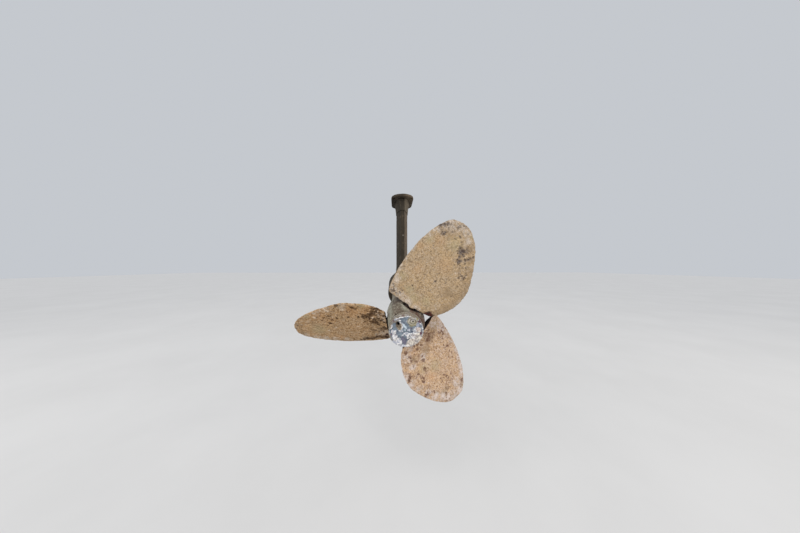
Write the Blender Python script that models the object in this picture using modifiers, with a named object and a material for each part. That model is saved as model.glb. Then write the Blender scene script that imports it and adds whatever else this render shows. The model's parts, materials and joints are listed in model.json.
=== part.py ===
"""Yacht stern gear: a three-blade feathering propeller on its shaft, in a P-bracket.

The origin is the middle of the bracket's flat top face, which bolts up against a hull.
+Z is up, +Y points forward along the boat and +X to starboard. Lengths are in metres.
"""

import math

import bmesh
import bpy
from mathutils import Vector

MM = 0.001

# Fits
FIT_GAP = 0.3 * MM  # between two pieces that touch
RUNNING_GAP = 0.4 * MM  # between a turning piece and its seat
CUT_OVERRUN = 4.0 * MM  # how far a cutter runs past the face that it opens
WELD = 0.05 * MM  # points closer than this become one

# Shaft line
SHAFT_SLOPE = math.radians(14.5)  # falls towards the propeller
SHAFT_RADIUS = 20.0 * MM
SHAFT_FRONT_LENGTH = 120.0 * MM  # ahead of the bearing barrel
SHAFT_EDGE = 1.5 * MM
TAPER_END_RADIUS = 15.0 * MM
THREAD_RADIUS = 12.0 * MM
THREAD_LENGTH = 18.0 * MM
NUT_ACROSS_FLATS = 28.0 * MM
NUT_THICKNESS = 15.0 * MM
NUT_ROOM = 1.2 * MM  # round the nut's corners
SOCKET_SHARE = 0.62  # a bolt's socket, as a share of the bolt's radius
SOCKET_DEPTH_SHARE = 0.6  # and its depth, as a share of the head's height

# Bearing barrel and bearing
BARREL_RADIUS = 43.5 * MM
BARREL_NOSE_RADIUS = 33.0 * MM  # at its front end
BARREL_NOSE_LENGTH = 52.0 * MM
BARREL_LENGTH = 142.0 * MM
BARREL_EDGE = 5.0 * MM
BARREL_TO_HUB = 14.0 * MM
BEARING_SHELL_RADIUS = 27.5 * MM
BEARING_SHELL_WALL = 2.7 * MM
BEARING_PROUD = 4.0 * MM  # past the barrel's aft end
FLUTE_COUNT = 8
FLUTE_RADIUS = 2.2 * MM
SET_SCREW_RADIUS = 4.0 * MM
SET_SCREW_SOCKET = 2.2 * MM
SET_SCREW_SOCKET_DEPTH = 4.0 * MM
SET_SCREW_SINK = 1.0 * MM
SET_SCREW_FROM_END = 24.0 * MM

# Bracket leg, from the barrel's axis up to the hull
LEG_HEIGHT = 280.0 * MM
LEG_THICKNESS = 37.5 * MM
LEG_CHORD = 96.0 * MM
LEG_TAIL_THICKNESS = 9.0 * MM
LEG_NOSE_SHARE = 0.36  # of the chord, ahead of the thickest place
LEG_TAIL_POWER = 1.7  # how late the leg thins towards its tail
FAIRING_HEIGHT = 36.0 * MM
FAIRING_FLARE = 6.5 * MM  # each side, at the hull
FAIRING_LIP = 1.2 * MM  # at its lower rim
PALM_LENGTH = 144.0 * MM
PALM_WIDTH = 70.0 * MM
PALM_THICKNESS = 8.0 * MM
PALM_EDGE = 1.5 * MM
PALM_HOLE_RADIUS = 4.5 * MM
PALM_SINK_RADIUS = 8.0 * MM
PALM_HOLE_SPACING = 96.0 * MM
PALM_HOLE_GAUGE = 46.0 * MM

# Hub, measured along the shaft from the plane of the blades
HUB_RADIUS = 34.2 * MM
HUB_SLEEVE_RADIUS = 31.0 * MM
HUB_BODY_LENGTH = 46.0 * MM  # full radius, ahead of the blade plane
HUB_CONE_LENGTH = 46.0 * MM
HUB_FRONT_LENGTH = 144.0 * MM
HUB_REAR_LENGTH = 24.0 * MM
HUB_EDGE = 2.5 * MM
HUB_WALL = 4.5 * MM  # between the nut's room and the blade roots
HUB_BOLT_CIRCLE = 27.5 * MM
HUB_BOLT_RADIUS = 2.5 * MM
HUB_BOLT_HEAD_RADIUS = 4.25 * MM
HUB_BOLT_HEAD = 5.0 * MM
HUB_BOLT_LENGTH = 40.0 * MM
HUB_BOLT_HEAD_SINK = 1.0 * MM

# Anode at the aft end, held by four screws of which one is missing
ANODE_RADIUS = 34.2 * MM
ANODE_LENGTH = 20.0 * MM
ANODE_FACE_RADIUS = 31.2 * MM
ANODE_RIM_LENGTH = 17.5 * MM
ANODE_CROWN = 0.8 * MM
ANODE_STATIONS = 4
EMPTY_STATION_NUMBER = 2
ANODE_BEFORE_BLADE = math.radians(15.0)  # from the first blade back to the first screw
ANODE_SCREW_CIRCLE = 20.5 * MM
ANODE_SCREW_RADIUS = 2.5 * MM
ANODE_HEAD_RADIUS = 4.8 * MM
ANODE_HEAD = 4.0 * MM
ANODE_WASHER_RADIUS = 6.4 * MM
ANODE_WASHER = 1.2 * MM
ANODE_BORE_RADIUS = 7.2 * MM
ANODE_BORE_DEPTH = 15.0 * MM
ANODE_SCREW_IN_HUB = 6.0 * MM

# Blades
BLADE_COUNT = 3
FIRST_BLADE_ANGLE = math.radians(66.2)  # from starboard, seen from behind
BLADE_PITCH = math.radians(27.3)  # turned from the plane of the disc
PROP_RADIUS = 240.0 * MM
BLADE_INNER_RADIUS = 39.2 * MM
# Each side of a blade: its greatest width and at what radius, where it would close
# inwards without the flat inner edge and how square that corner is, and its tip's two powers.
LEAD_WIDTH = 69.0 * MM
LEAD_WIDEST_AT = 60.0 * MM
LEAD_CLOSES_AT = 34.3 * MM
LEAD_CORNER_POWER = 4.4
LEAD_TIP_POWERS = (2.0, 0.63)
TRAIL_WIDTH = 84.7 * MM
TRAIL_WIDEST_AT = 125.0 * MM
TRAIL_CLOSES_AT = 26.6 * MM
TRAIL_CORNER_POWER = 2.0
TRAIL_TIP_POWERS = (1.2, 0.36)
BLADE_ROOT_THICKNESS = 13.0 * MM
BLADE_TIP_THICKNESS = 5.0 * MM
BLADE_SECTION_POWER = 3.0
BLADE_TIP_ROUND = 10.0
NECK_RADIUS = 9.5 * MM
NECK_BLEND_RADIUS = 5.5 * MM
NECK_BLEND_TO = 45.0 * MM
TRUNNION_RADIUS = 16.5 * MM
TRUNNION_FROM = 20.0 * MM
TRUNNION_TO = 27.3 * MM
BUSH_RADIUS = 17.5 * MM
BUSH_TOP = 34.4 * MM

# Fineness of the surfaces
FINE_SIDES = 48
ROUND_SIDES = 32
SMALL_SIDES = 16
FLUTE_SIDES = 8
BLADE_STATIONS = 20
BLADE_SECTION_POINTS = 24
LEG_SECTION_POINTS = 16
FAIRING_ROWS = 5
ROUND_EDGE_STEPS = 3
ANODE_FACE_STEPS = 2
SHARP_EDGE = math.radians(32.0)

# Places that follow from the sizes
HUB_TO_LEG = HUB_FRONT_LENGTH + BARREL_TO_HUB + BARREL_LENGTH / 2
BARREL_CENTRE = Vector((0.0, 0.0, -LEG_HEIGHT))
SHAFT_AFT = Vector((0.0, -math.cos(SHAFT_SLOPE), -math.sin(SHAFT_SLOPE)))
HUB_CENTRE = BARREL_CENTRE + SHAFT_AFT * HUB_TO_LEG
BARREL_AFT = -(HUB_FRONT_LENGTH + BARREL_TO_HUB)
BARREL_FRONT = BARREL_AFT - BARREL_LENGTH
BLADE_ANGLES = [FIRST_BLADE_ANGLE + math.tau * k / BLADE_COUNT for k in range(BLADE_COUNT)]
NUT_ROOM_END = -(TRUNNION_RADIUS + HUB_WALL)
THREAD_END = NUT_ROOM_END - FIT_GAP
TAPER_END = THREAD_END - THREAD_LENGTH
HEXAGON = 6
NUT_CORNER_RADIUS = NUT_ACROSS_FLATS / 2 / math.cos(math.pi / HEXAGON)


def clear_scene():
    for obj in list(bpy.data.objects):
        bpy.data.objects.remove(obj)


def collection(name):
    made = bpy.data.collections.new(name)
    bpy.context.scene.collection.children.link(made)
    return made


def material(name, color, roughness, metallic):
    made = bpy.data.materials.new(name)
    made.use_nodes = True
    shader = made.node_tree.nodes["Principled BSDF"]
    shader.inputs["Base Color"].default_value = (*color, 1.0)
    shader.inputs["Roughness"].default_value = roughness
    shader.inputs["Metallic"].default_value = metallic
    made.diffuse_color = (*color, 1.0)
    return made


def add_object(name, mesh, parent=None, location=(0.0, 0.0, 0.0), rotation=(0.0, 0.0, 0.0)):
    obj = bpy.data.objects.new(name, mesh)
    PARTS.objects.link(obj)
    obj.parent = parent
    obj.location = location
    obj.rotation_euler = rotation
    return obj


def paint(obj, shade):
    obj.data.materials.clear()
    obj.data.materials.append(shade)
    return obj


def as_cutter(obj):
    PARTS.objects.unlink(obj)
    CUTTERS.objects.link(obj)
    obj.hide_render = True
    obj.display_type = "WIRE"
    return obj


def boolean(obj, other, operation):
    step = obj.modifiers.new(other.name, "BOOLEAN")
    step.object = other
    step.operation = operation
    step.solver = "EXACT"


def cut(obj, *cutters):
    for cutter in cutters:
        boolean(obj, cutter, "DIFFERENCE")
    return obj


def smooth(mesh):
    mesh.shade_smooth()
    mesh.set_sharp_from_angle(angle=SHARP_EDGE)


def turned(name, profile, sides, closed=False, **place):
    """A profile of (radius, height) points swept round the object's Z axis."""
    mesh = bpy.data.meshes.new(name)
    bm = bmesh.new()
    points = [bm.verts.new((radius, 0.0, height)) for radius, height in profile]
    for a, b in zip(points, points[1:]):
        bm.edges.new((a, b))
    if closed:
        bm.edges.new((points[-1], points[0]))
    bm.to_mesh(mesh)
    bm.free()
    obj = add_object(name, mesh, **place)
    sweep = obj.modifiers.new("turn", "SCREW")
    sweep.steps = sides
    sweep.render_steps = sides
    sweep.use_merge_vertices = True
    sweep.merge_threshold = WELD
    sweep.use_smooth_shade = True
    return obj


def rod(name, radius, low, high, sides, **place):
    return turned(name, [(0.0, high), (radius, high), (radius, low), (0.0, low)], sides, **place)


def ring(name, inner, outer, low, high, sides, **place):
    profile = [(outer, high), (outer, low), (inner, low), (inner, high)]
    return turned(name, profile, sides, closed=True, **place)


def loft(name, rings, poles=(None, None), **place):
    """A skin over rings of equal point counts, closed by a face or a single point at each end."""
    mesh = bpy.data.meshes.new(name)
    bm = bmesh.new()
    rows = [[bm.verts.new(point) for point in row] for row in rings]
    for low, high in zip(rows, rows[1:]):
        bmesh.ops.bridge_loops(bm, edges=row_edges(bm, low) + row_edges(bm, high))
    for row, pole in ((rows[0], poles[0]), (rows[-1], poles[1])):
        if pole is None:
            bm.faces.new(row)
        else:
            tip = bm.verts.new(pole)
            for a, b in zip(row, row[1:] + row[:1]):
                bm.faces.new((a, b, tip))
    bmesh.ops.recalc_face_normals(bm, faces=bm.faces)
    bm.to_mesh(mesh)
    bm.free()
    smooth(mesh)
    return add_object(name, mesh, **place)


def row_edges(bm, row):
    return [bm.edges.get((a, b)) or bm.edges.new((a, b)) for a, b in zip(row, row[1:] + row[:1])]


def plate(name, outline, thickness, **place):
    """A flat outline of (x, y) points, made thick both ways from its own plane."""
    curve = bpy.data.curves.new(name, "CURVE")
    curve.dimensions = "2D"
    curve.fill_mode = "BOTH"
    curve.extrude = thickness / 2
    spline = curve.splines.new("POLY")
    spline.points.add(len(outline) - 1)
    for point, (x, y) in zip(spline.points, outline):
        point.co = (x, y, 0.0, 1.0)
    spline.use_cyclic_u = True
    holder = bpy.data.objects.new(name, curve)
    PARTS.objects.link(holder)
    bpy.context.view_layer.update()
    graph = bpy.context.evaluated_depsgraph_get()
    mesh = bpy.data.meshes.new_from_object(holder.evaluated_get(graph))
    bpy.data.objects.remove(holder)
    bm = bmesh.new()
    bm.from_mesh(mesh)
    bmesh.ops.remove_doubles(bm, verts=bm.verts, dist=WELD)
    bm.to_mesh(mesh)
    bm.free()
    return add_object(name, mesh, **place)


def polar(radius, angle, height=0.0):
    return (radius * math.cos(angle), radius * math.sin(angle), height)


def quarter_turns():
    """Angles of the points along a rounded edge, both ends included."""
    return [math.pi / 2 * k / ROUND_EDGE_STEPS for k in range(ROUND_EDGE_STEPS + 1)]


# Bracket


def leg_half_thickness(share, grown):
    """Half the leg's thickness at a share of its chord, counted from the nose."""
    half = LEG_THICKNESS / 2
    tail = LEG_TAIL_THICKNESS / 2
    if share < LEG_NOSE_SHARE:
        along = 1.0 - share / LEG_NOSE_SHARE
        return half * math.sqrt(max(0.0, 1.0 - along**2)) + grown
    along = (share - LEG_NOSE_SHARE) / (1.0 - LEG_NOSE_SHARE)
    return half + (tail - half) * along**LEG_TAIL_POWER + grown


def leg_outline(grown=0.0):
    """The leg's streamlined section, nose forward, made larger all round by the grown distance."""
    chord = LEG_CHORD + 2 * grown
    turns = [math.pi * k / LEG_SECTION_POINTS for k in range(LEG_SECTION_POINTS + 1)]
    shares = [(1.0 - math.cos(turn)) / 2 for turn in turns]
    starboard = []
    for share in shares:
        half = leg_half_thickness(share, grown if share > 0.0 else 0.0)
        starboard.append((half, LEG_CHORD / 2 + grown - chord * share))
    port = [(-x, y) for x, y in reversed(starboard[1:])]
    return starboard + port


def palm_outline():
    """A plate with full round ends, its length fore and aft."""
    radius = PALM_WIDTH / 2
    straight = PALM_LENGTH / 2 - radius
    steps = SMALL_SIDES // 2
    points = []
    for end, start in ((1.0, 0.0), (-1.0, math.pi)):
        for k in range(steps + 1):
            x, y, _ = polar(radius, start + math.pi * k / steps)
            points.append((x, y + end * straight))
    return points


def palm_hole(name, x, y):
    """A countersunk hole, its wide mouth on the palm's lower face."""
    top = CUT_OVERRUN
    sink = PALM_SINK_RADIUS - PALM_HOLE_RADIUS
    face = -PALM_THICKNESS
    profile = [
        (0.0, top),
        (PALM_HOLE_RADIUS, top),
        (PALM_HOLE_RADIUS, face + sink),
        (PALM_SINK_RADIUS, face),
        (PALM_SINK_RADIUS, face - CUT_OVERRUN),
        (0.0, face - CUT_OVERRUN),
    ]
    return as_cutter(turned(name, profile, SMALL_SIDES, location=(x, y, 0.0)))


def build_palm():
    palm = plate("strut_palm", palm_outline(), PALM_THICKNESS, location=(0.0, 0.0, -PALM_THICKNESS / 2))
    edge = palm.modifiers.new("edge", "BEVEL")
    edge.width = PALM_EDGE
    edge.segments = 2
    edge.limit_method = "ANGLE"
    for along in (1.0, -1.0):
        for side in (1.0, -1.0):
            name = f"palm_hole_{'front' if along > 0 else 'back'}_{'right' if side > 0 else 'left'}"
            cut(palm, palm_hole(name, side * PALM_HOLE_GAUGE / 2, along * PALM_HOLE_SPACING / 2))
    return paint(palm, PAINT_DARK)


def build_leg(shaft_line):
    top = -PALM_THICKNESS - FIT_GAP
    low = -LEG_HEIGHT
    middle = (0.0, 0.0, (top + low) / 2)
    leg = plate("strut_leg", leg_outline(), top - low, location=middle)
    outside = barrel_outside(FIT_GAP)
    aft = BARREL_AFT + CUT_OVERRUN
    front = BARREL_FRONT - CUT_OVERRUN
    profile = [(0.0, aft), (outside[0][0], aft)] + outside + [(outside[-1][0], front), (0.0, front)]
    saddle = turned("leg_saddle", profile, FINE_SIDES, parent=shaft_line)
    cut(leg, as_cutter(saddle))
    return paint(leg, PAINT_DARK)


def build_fairing():
    """The flared collar that eases the leg into the hull."""
    top = -PALM_THICKNESS - FIT_GAP
    rings = []
    for k in range(FAIRING_ROWS + 1):
        share = k / FAIRING_ROWS
        grown = FAIRING_LIP + FIT_GAP + (FAIRING_FLARE - FAIRING_LIP) * share**2
        height = top - FAIRING_HEIGHT * (1.0 - share)
        rings.append([(x, y, height) for x, y in leg_outline(grown)])
    fairing = loft("strut_fairing", rings)
    middle = (0.0, 0.0, top - FAIRING_HEIGHT / 2)
    room = plate("fairing_room", leg_outline(FIT_GAP), FAIRING_HEIGHT + 2 * CUT_OVERRUN, location=middle)
    cut(fairing, as_cutter(room))
    return paint(fairing, PAINT_FAIRING)


def barrel_outside(grown=0.0):
    """The barrel's outer side, aft to front: a cylinder with round edges and a long tapered nose."""
    edge = BARREL_EDGE
    flat = BARREL_RADIUS - edge
    base = BARREL_AFT - edge
    aft = [(flat + edge * math.sin(turn), base + edge * math.cos(turn)) for turn in quarter_turns()]
    nose = [(BARREL_RADIUS, BARREL_FRONT + BARREL_NOSE_LENGTH)]
    edge = BARREL_EDGE / 2
    flat = BARREL_NOSE_RADIUS - edge
    base = BARREL_FRONT + edge
    tip = [(flat + edge * math.cos(turn), base - edge * math.sin(turn)) for turn in quarter_turns()]
    return [(radius + grown, along) for radius, along in aft + nose + tip]


def build_barrel(shaft_line):
    bore = BEARING_SHELL_RADIUS + FIT_GAP
    profile = barrel_outside() + [(bore, BARREL_FRONT), (bore, BARREL_AFT)]
    barrel = turned("strut_barrel", profile, FINE_SIDES, closed=True, parent=shaft_line)
    for side, name in ((0.0, "right"), (math.pi, "left")):
        past = BARREL_RADIUS + CUT_OVERRUN
        hole = rod(f"set_screw_hole_{name}", SET_SCREW_RADIUS, 0.0, past, SMALL_SIDES)
        place_radially(hole, shaft_line, side, BARREL_AFT - SET_SCREW_FROM_END)
        cut(barrel, as_cutter(hole))
    return paint(barrel, PAINT_DARK)


def place_radially(obj, shaft_line, angle, along):
    """Turns the object's Z axis to point out from the shaft at this angle."""
    obj.parent = shaft_line
    obj.location = (0.0, 0.0, along)
    obj.rotation_euler = (0.0, math.pi / 2, angle)


def build_bearing(shaft_line):
    outer = BEARING_SHELL_RADIUS
    inner = outer - BEARING_SHELL_WALL
    front = BARREL_FRONT
    aft = BARREL_AFT + BEARING_PROUD
    shell = ring("bearing_shell", inner, outer, front, aft, ROUND_SIDES, parent=shaft_line)
    stave = SHAFT_RADIUS + RUNNING_GAP
    rubber = ring("bearing_rubber", stave, inner - FIT_GAP, front, aft, ROUND_SIDES, parent=shaft_line)
    past = aft + CUT_OVERRUN
    for k in range(FLUTE_COUNT):
        flute = rod(f"flute_{k + 1}", FLUTE_RADIUS, front - CUT_OVERRUN, past, FLUTE_SIDES)
        flute.parent = shaft_line
        flute.location = polar(stave, math.tau * (k + 0.5) / FLUTE_COUNT)
        cut(rubber, as_cutter(flute))
    paint(shell, BRASS)
    paint(rubber, RUBBER)


def build_set_screws(shaft_line):
    low = BEARING_SHELL_RADIUS + FIT_GAP
    high = BARREL_RADIUS - SET_SCREW_SINK
    radius = SET_SCREW_RADIUS - FIT_GAP
    floor = high - SET_SCREW_SOCKET_DEPTH
    profile = [
        (0.0, floor),
        (SET_SCREW_SOCKET, floor),
        (SET_SCREW_SOCKET, high),
        (radius, high),
        (radius, low),
        (0.0, low),
    ]
    for number, side in enumerate((0.0, math.pi), start=1):
        screw = turned(f"bearing_screw_{number}", profile, SMALL_SIDES)
        place_radially(screw, shaft_line, side, BARREL_AFT - SET_SCREW_FROM_END)
        paint(screw, STEEL)


# Shaft and hub


def build_shaft(rotor):
    front = BARREL_FRONT - SHAFT_FRONT_LENGTH
    edge = SHAFT_EDGE
    profile = [
        (0.0, THREAD_END),
        (THREAD_RADIUS - edge, THREAD_END),
        (THREAD_RADIUS, THREAD_END - edge),
        (THREAD_RADIUS, TAPER_END),
        (TAPER_END_RADIUS, TAPER_END),
        (SHAFT_RADIUS, -HUB_FRONT_LENGTH),
        (SHAFT_RADIUS, front + edge),
        (SHAFT_RADIUS - edge, front),
        (0.0, front),
    ]
    paint(turned("propeller_shaft", profile, ROUND_SIDES, parent=rotor), STEEL)


def build_shaft_nut(rotor):
    low = TAPER_END + FIT_GAP
    high = low + NUT_THICKNESS
    nut = rod("shaft_nut", NUT_CORNER_RADIUS, low, high, HEXAGON, parent=rotor)
    thread = rod("nut_thread", THREAD_RADIUS + FIT_GAP, low - CUT_OVERRUN, high + CUT_OVERRUN, ROUND_SIDES)
    thread.parent = rotor
    cut(nut, as_cutter(thread))
    paint(nut, BRASS)


def blade_pocket(name, rotor, angle):
    """The room in the hub for one blade's trunnion and its bush, open outwards."""
    step = TRUNNION_TO + FIT_GAP
    profile = [
        (0.0, HUB_RADIUS + CUT_OVERRUN),
        (BUSH_RADIUS + FIT_GAP, HUB_RADIUS + CUT_OVERRUN),
        (BUSH_RADIUS + FIT_GAP, step),
        (TRUNNION_RADIUS + RUNNING_GAP, step),
        (TRUNNION_RADIUS + RUNNING_GAP, TRUNNION_FROM - RUNNING_GAP),
        (0.0, TRUNNION_FROM - RUNNING_GAP),
    ]
    pocket = turned(name, profile, ROUND_SIDES)
    place_radially(pocket, rotor, angle, 0.0)
    return as_cutter(pocket)


def stepped_hole(name, rotor, circle, angle, steps, low):
    """A hole along the shaft line. Its steps are (radius, top), from the mouth inwards, down to low."""
    profile = [(0.0, steps[0][1])]
    for (radius, top), following in zip(steps, steps[1:] + [(0.0, low)]):
        profile += [(radius, top), (radius, following[1])]
    profile.append((0.0, low))
    tool = turned(name, profile, SMALL_SIDES, parent=rotor)
    tool.location = polar(circle, angle)
    return as_cutter(tool)


def build_hub_front(rotor):
    bore = FIT_GAP
    room = NUT_CORNER_RADIUS + NUT_ROOM
    cone_end = -(HUB_BODY_LENGTH + HUB_CONE_LENGTH)
    front = -HUB_FRONT_LENGTH
    profile = [
        (0.0, -FIT_GAP / 2),
        (HUB_RADIUS, -FIT_GAP / 2),
        (HUB_RADIUS, -HUB_BODY_LENGTH),
        (HUB_SLEEVE_RADIUS, cone_end),
        (HUB_SLEEVE_RADIUS, front + HUB_EDGE),
        (HUB_SLEEVE_RADIUS - HUB_EDGE, front),
        (SHAFT_RADIUS + bore, front),
        (TAPER_END_RADIUS + bore, TAPER_END),
        (room, TAPER_END),
        (room, NUT_ROOM_END),
        (0.0, NUT_ROOM_END),
    ]
    return paint(turned("hub_front_half", profile, FINE_SIDES, parent=rotor), BRONZE_HUB)


def build_hub_rear(rotor):
    rear = HUB_REAR_LENGTH
    profile = [
        (0.0, rear),
        (HUB_RADIUS - HUB_EDGE / 2, rear),
        (HUB_RADIUS, rear - HUB_EDGE / 2),
        (HUB_RADIUS, FIT_GAP / 2),
        (0.0, FIT_GAP / 2),
    ]
    return paint(turned("hub_rear_half", profile, FINE_SIDES, parent=rotor), BRONZE_HUB)


def bolt_angles():
    return [angle + math.pi / BLADE_COUNT for angle in BLADE_ANGLES]


def screw_angles():
    first = FIRST_BLADE_ANGLE - ANODE_BEFORE_BLADE
    return [first + math.tau * k / ANODE_STATIONS for k in range(ANODE_STATIONS)]


def build_hub(rotor):
    front = build_hub_front(rotor)
    rear = build_hub_rear(rotor)
    for number, angle in enumerate(BLADE_ANGLES, start=1):
        pocket = blade_pocket(f"blade_pocket_{number}", rotor, angle)
        cut(front, pocket)
        cut(rear, pocket)
    past = HUB_REAR_LENGTH + CUT_OVERRUN
    head_floor = HUB_REAR_LENGTH - HUB_BOLT_HEAD_SINK - HUB_BOLT_HEAD - FIT_GAP
    steps = [(HUB_BOLT_HEAD_RADIUS + FIT_GAP, past), (HUB_BOLT_RADIUS + FIT_GAP, head_floor)]
    for number, angle in enumerate(bolt_angles(), start=1):
        end = head_floor - HUB_BOLT_LENGTH
        hole = stepped_hole(f"hub_bolt_hole_{number}", rotor, HUB_BOLT_CIRCLE, angle, steps, end)
        cut(front, hole)
        cut(rear, hole)
    steps = [(ANODE_SCREW_RADIUS + FIT_GAP, past)]
    end = HUB_REAR_LENGTH - ANODE_SCREW_IN_HUB - FIT_GAP
    for number, angle in enumerate(screw_angles(), start=1):
        cut(rear, stepped_hole(f"tapped_hole_{number}", rotor, ANODE_SCREW_CIRCLE, angle, steps, end))


def socket_bolt(name, rotor, circle, angle, sizes, top):
    """A bolt along the shaft line with a round head and a round socket. Its head ends at this top."""
    radius, head_radius, head, length = sizes
    socket = radius * SOCKET_SHARE
    floor = top - head * SOCKET_DEPTH_SHARE
    profile = [
        (0.0, floor),
        (socket, floor),
        (socket, top),
        (head_radius, top),
        (head_radius, top - head),
        (radius, top - head),
        (radius, top - head - length),
        (0.0, top - head - length),
    ]
    bolt = turned(name, profile, SMALL_SIDES, parent=rotor)
    bolt.location = polar(circle, angle)
    return paint(bolt, STEEL)


def build_hub_bolts(rotor):
    sizes = (HUB_BOLT_RADIUS, HUB_BOLT_HEAD_RADIUS, HUB_BOLT_HEAD, HUB_BOLT_LENGTH - FIT_GAP)
    top = HUB_REAR_LENGTH - HUB_BOLT_HEAD_SINK
    for number, angle in enumerate(bolt_angles(), start=1):
        socket_bolt(f"hub_bolt_{number}", rotor, HUB_BOLT_CIRCLE, angle, sizes, top)


# Anode


def anode_profile():
    """A nearly flat face with a low crown, a round shoulder and a straight side."""
    base = HUB_REAR_LENGTH + FIT_GAP
    face = HUB_REAR_LENGTH + ANODE_LENGTH
    rim = HUB_REAR_LENGTH + ANODE_RIM_LENGTH
    drop = face - ANODE_CROWN - rim
    round_by = ANODE_RADIUS - ANODE_FACE_RADIUS
    profile = [(0.0, face)]
    for k in range(1, ANODE_FACE_STEPS + 1):
        share = k / ANODE_FACE_STEPS
        profile.append((ANODE_FACE_RADIUS * share, face - ANODE_CROWN * share**2))
    for turn in quarter_turns()[1:]:
        profile.append((ANODE_FACE_RADIUS + round_by * math.sin(turn), rim + drop * math.cos(turn)))
    return profile + [(ANODE_RADIUS, base), (0.0, base)]


def anode_seat():
    """Height of the floor that each screw's washer sits on."""
    return HUB_REAR_LENGTH + ANODE_LENGTH - ANODE_BORE_DEPTH


def build_anode(rotor):
    anode = turned("anode", anode_profile(), FINE_SIDES, parent=rotor)
    past = HUB_REAR_LENGTH + ANODE_LENGTH + CUT_OVERRUN
    steps = [(ANODE_BORE_RADIUS, past), (ANODE_SCREW_RADIUS + FIT_GAP, anode_seat())]
    end = HUB_REAR_LENGTH - CUT_OVERRUN
    for number, angle in enumerate(screw_angles(), start=1):
        cut(anode, stepped_hole(f"anode_hole_{number}", rotor, ANODE_SCREW_CIRCLE, angle, steps, end))
    return paint(anode, ZINC)


def build_anode_screws(rotor):
    """A washer and a screw at every station but the empty one."""
    low = anode_seat() + FIT_GAP
    top = low + ANODE_WASHER
    inner = ANODE_SCREW_RADIUS + FIT_GAP
    head = top + FIT_GAP
    length = head - (HUB_REAR_LENGTH - ANODE_SCREW_IN_HUB)
    sizes = (ANODE_SCREW_RADIUS, ANODE_HEAD_RADIUS, ANODE_HEAD, length)
    for number, angle in enumerate(screw_angles(), start=1):
        if number == EMPTY_STATION_NUMBER:
            continue
        washer = ring(f"anode_washer_{number}", inner, ANODE_WASHER_RADIUS, low, top, SMALL_SIDES)
        washer.parent = rotor
        washer.location = polar(ANODE_SCREW_CIRCLE, angle)
        paint(washer, STEEL)
        socket_bolt(f"anode_screw_{number}", rotor, ANODE_SCREW_CIRCLE, angle, sizes, head + ANODE_HEAD)


# Blades


LEAD_SIDE = (LEAD_WIDTH, LEAD_WIDEST_AT, LEAD_CLOSES_AT, LEAD_CORNER_POWER, LEAD_TIP_POWERS)
TRAIL_SIDE = (TRAIL_WIDTH, TRAIL_WIDEST_AT, TRAIL_CLOSES_AT, TRAIL_CORNER_POWER, TRAIL_TIP_POWERS)


def side_width(radius, side):
    """Distance from the blade's middle line to one edge, at a radius."""
    widest, widest_at, closes_at, corner_power, tip_powers = side
    if radius > widest_at:
        rise, fall = tip_powers
        share = (radius - widest_at) / (PROP_RADIUS - widest_at)
        return widest * max(0.0, 1.0 - share**rise) ** fall
    share = min(1.0, (widest_at - radius) / (widest_at - closes_at))
    return widest * (1.0 - share**corner_power) ** (1.0 / corner_power)


def blade_thickness(radius):
    share = radius / PROP_RADIUS
    body = BLADE_ROOT_THICKNESS + (BLADE_TIP_THICKNESS - BLADE_ROOT_THICKNESS) * share
    return body * math.sqrt(max(0.0, 1.0 - share**BLADE_TIP_ROUND))


def blade_section(radius):
    """The blade cut across at a radius, as points (radius, chord, thickness)."""
    lead = side_width(radius, LEAD_SIDE)
    trail = side_width(radius, TRAIL_SIDE)
    half = (lead + trail) / 2
    middle = (lead - trail) / 2
    thick = blade_thickness(radius) / 2
    points = []
    for k in range(BLADE_SECTION_POINTS):
        turn = math.tau * k / BLADE_SECTION_POINTS
        across = math.cos(turn)
        swell = math.sqrt(1.0 - abs(across) ** BLADE_SECTION_POWER)
        points.append((radius, middle + half * across, math.copysign(thick * swell, math.sin(turn))))
    return points


def blade_radii():
    span = PROP_RADIUS - BLADE_INNER_RADIUS
    turns = [math.pi * k / BLADE_STATIONS for k in range(BLADE_STATIONS)]
    return [BLADE_INNER_RADIUS + span * (1.0 - math.cos(turn)) / 2 for turn in turns]


def neck_profile():
    """The round root: a trunnion held in the hub, a neck, and a cone that fades into the blade."""
    return [
        (0.0, NECK_BLEND_TO),
        (NECK_BLEND_RADIUS, NECK_BLEND_TO),
        (NECK_RADIUS, BLADE_INNER_RADIUS + FIT_GAP),
        (NECK_RADIUS, TRUNNION_TO),
        (TRUNNION_RADIUS, TRUNNION_TO),
        (TRUNNION_RADIUS, TRUNNION_FROM),
        (0.0, TRUNNION_FROM),
    ]


def build_blade(number, angle, rotor):
    holder = bpy.data.objects.new(f"blade_axis_{number}", None)
    PARTS.objects.link(holder)
    holder.parent = rotor
    holder.rotation_euler = (-BLADE_PITCH, 0.0, angle)
    rings = [blade_section(radius) for radius in blade_radii()]
    blade = loft(f"blade_{number}", rings, poles=(None, (PROP_RADIUS, 0.0, 0.0)), parent=holder)
    neck = turned(f"blade_neck_{number}", neck_profile(), ROUND_SIDES, parent=holder)
    neck.rotation_euler = (0.0, math.pi / 2, 0.0)
    boolean(blade, as_cutter(neck), "UNION")
    paint(blade, BRONZE_BLADE)
    low = TRUNNION_TO + 2 * FIT_GAP
    bush = ring(f"blade_bush_{number}", NECK_RADIUS + RUNNING_GAP, BUSH_RADIUS, low, BUSH_TOP, ROUND_SIDES)
    place_radially(bush, rotor, angle, 0.0)
    paint(bush, BRONZE_HUB)


def empty(name, location, rotation):
    made = bpy.data.objects.new(name, None)
    PARTS.objects.link(made)
    made.location = location
    made.rotation_euler = rotation
    return made


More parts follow.
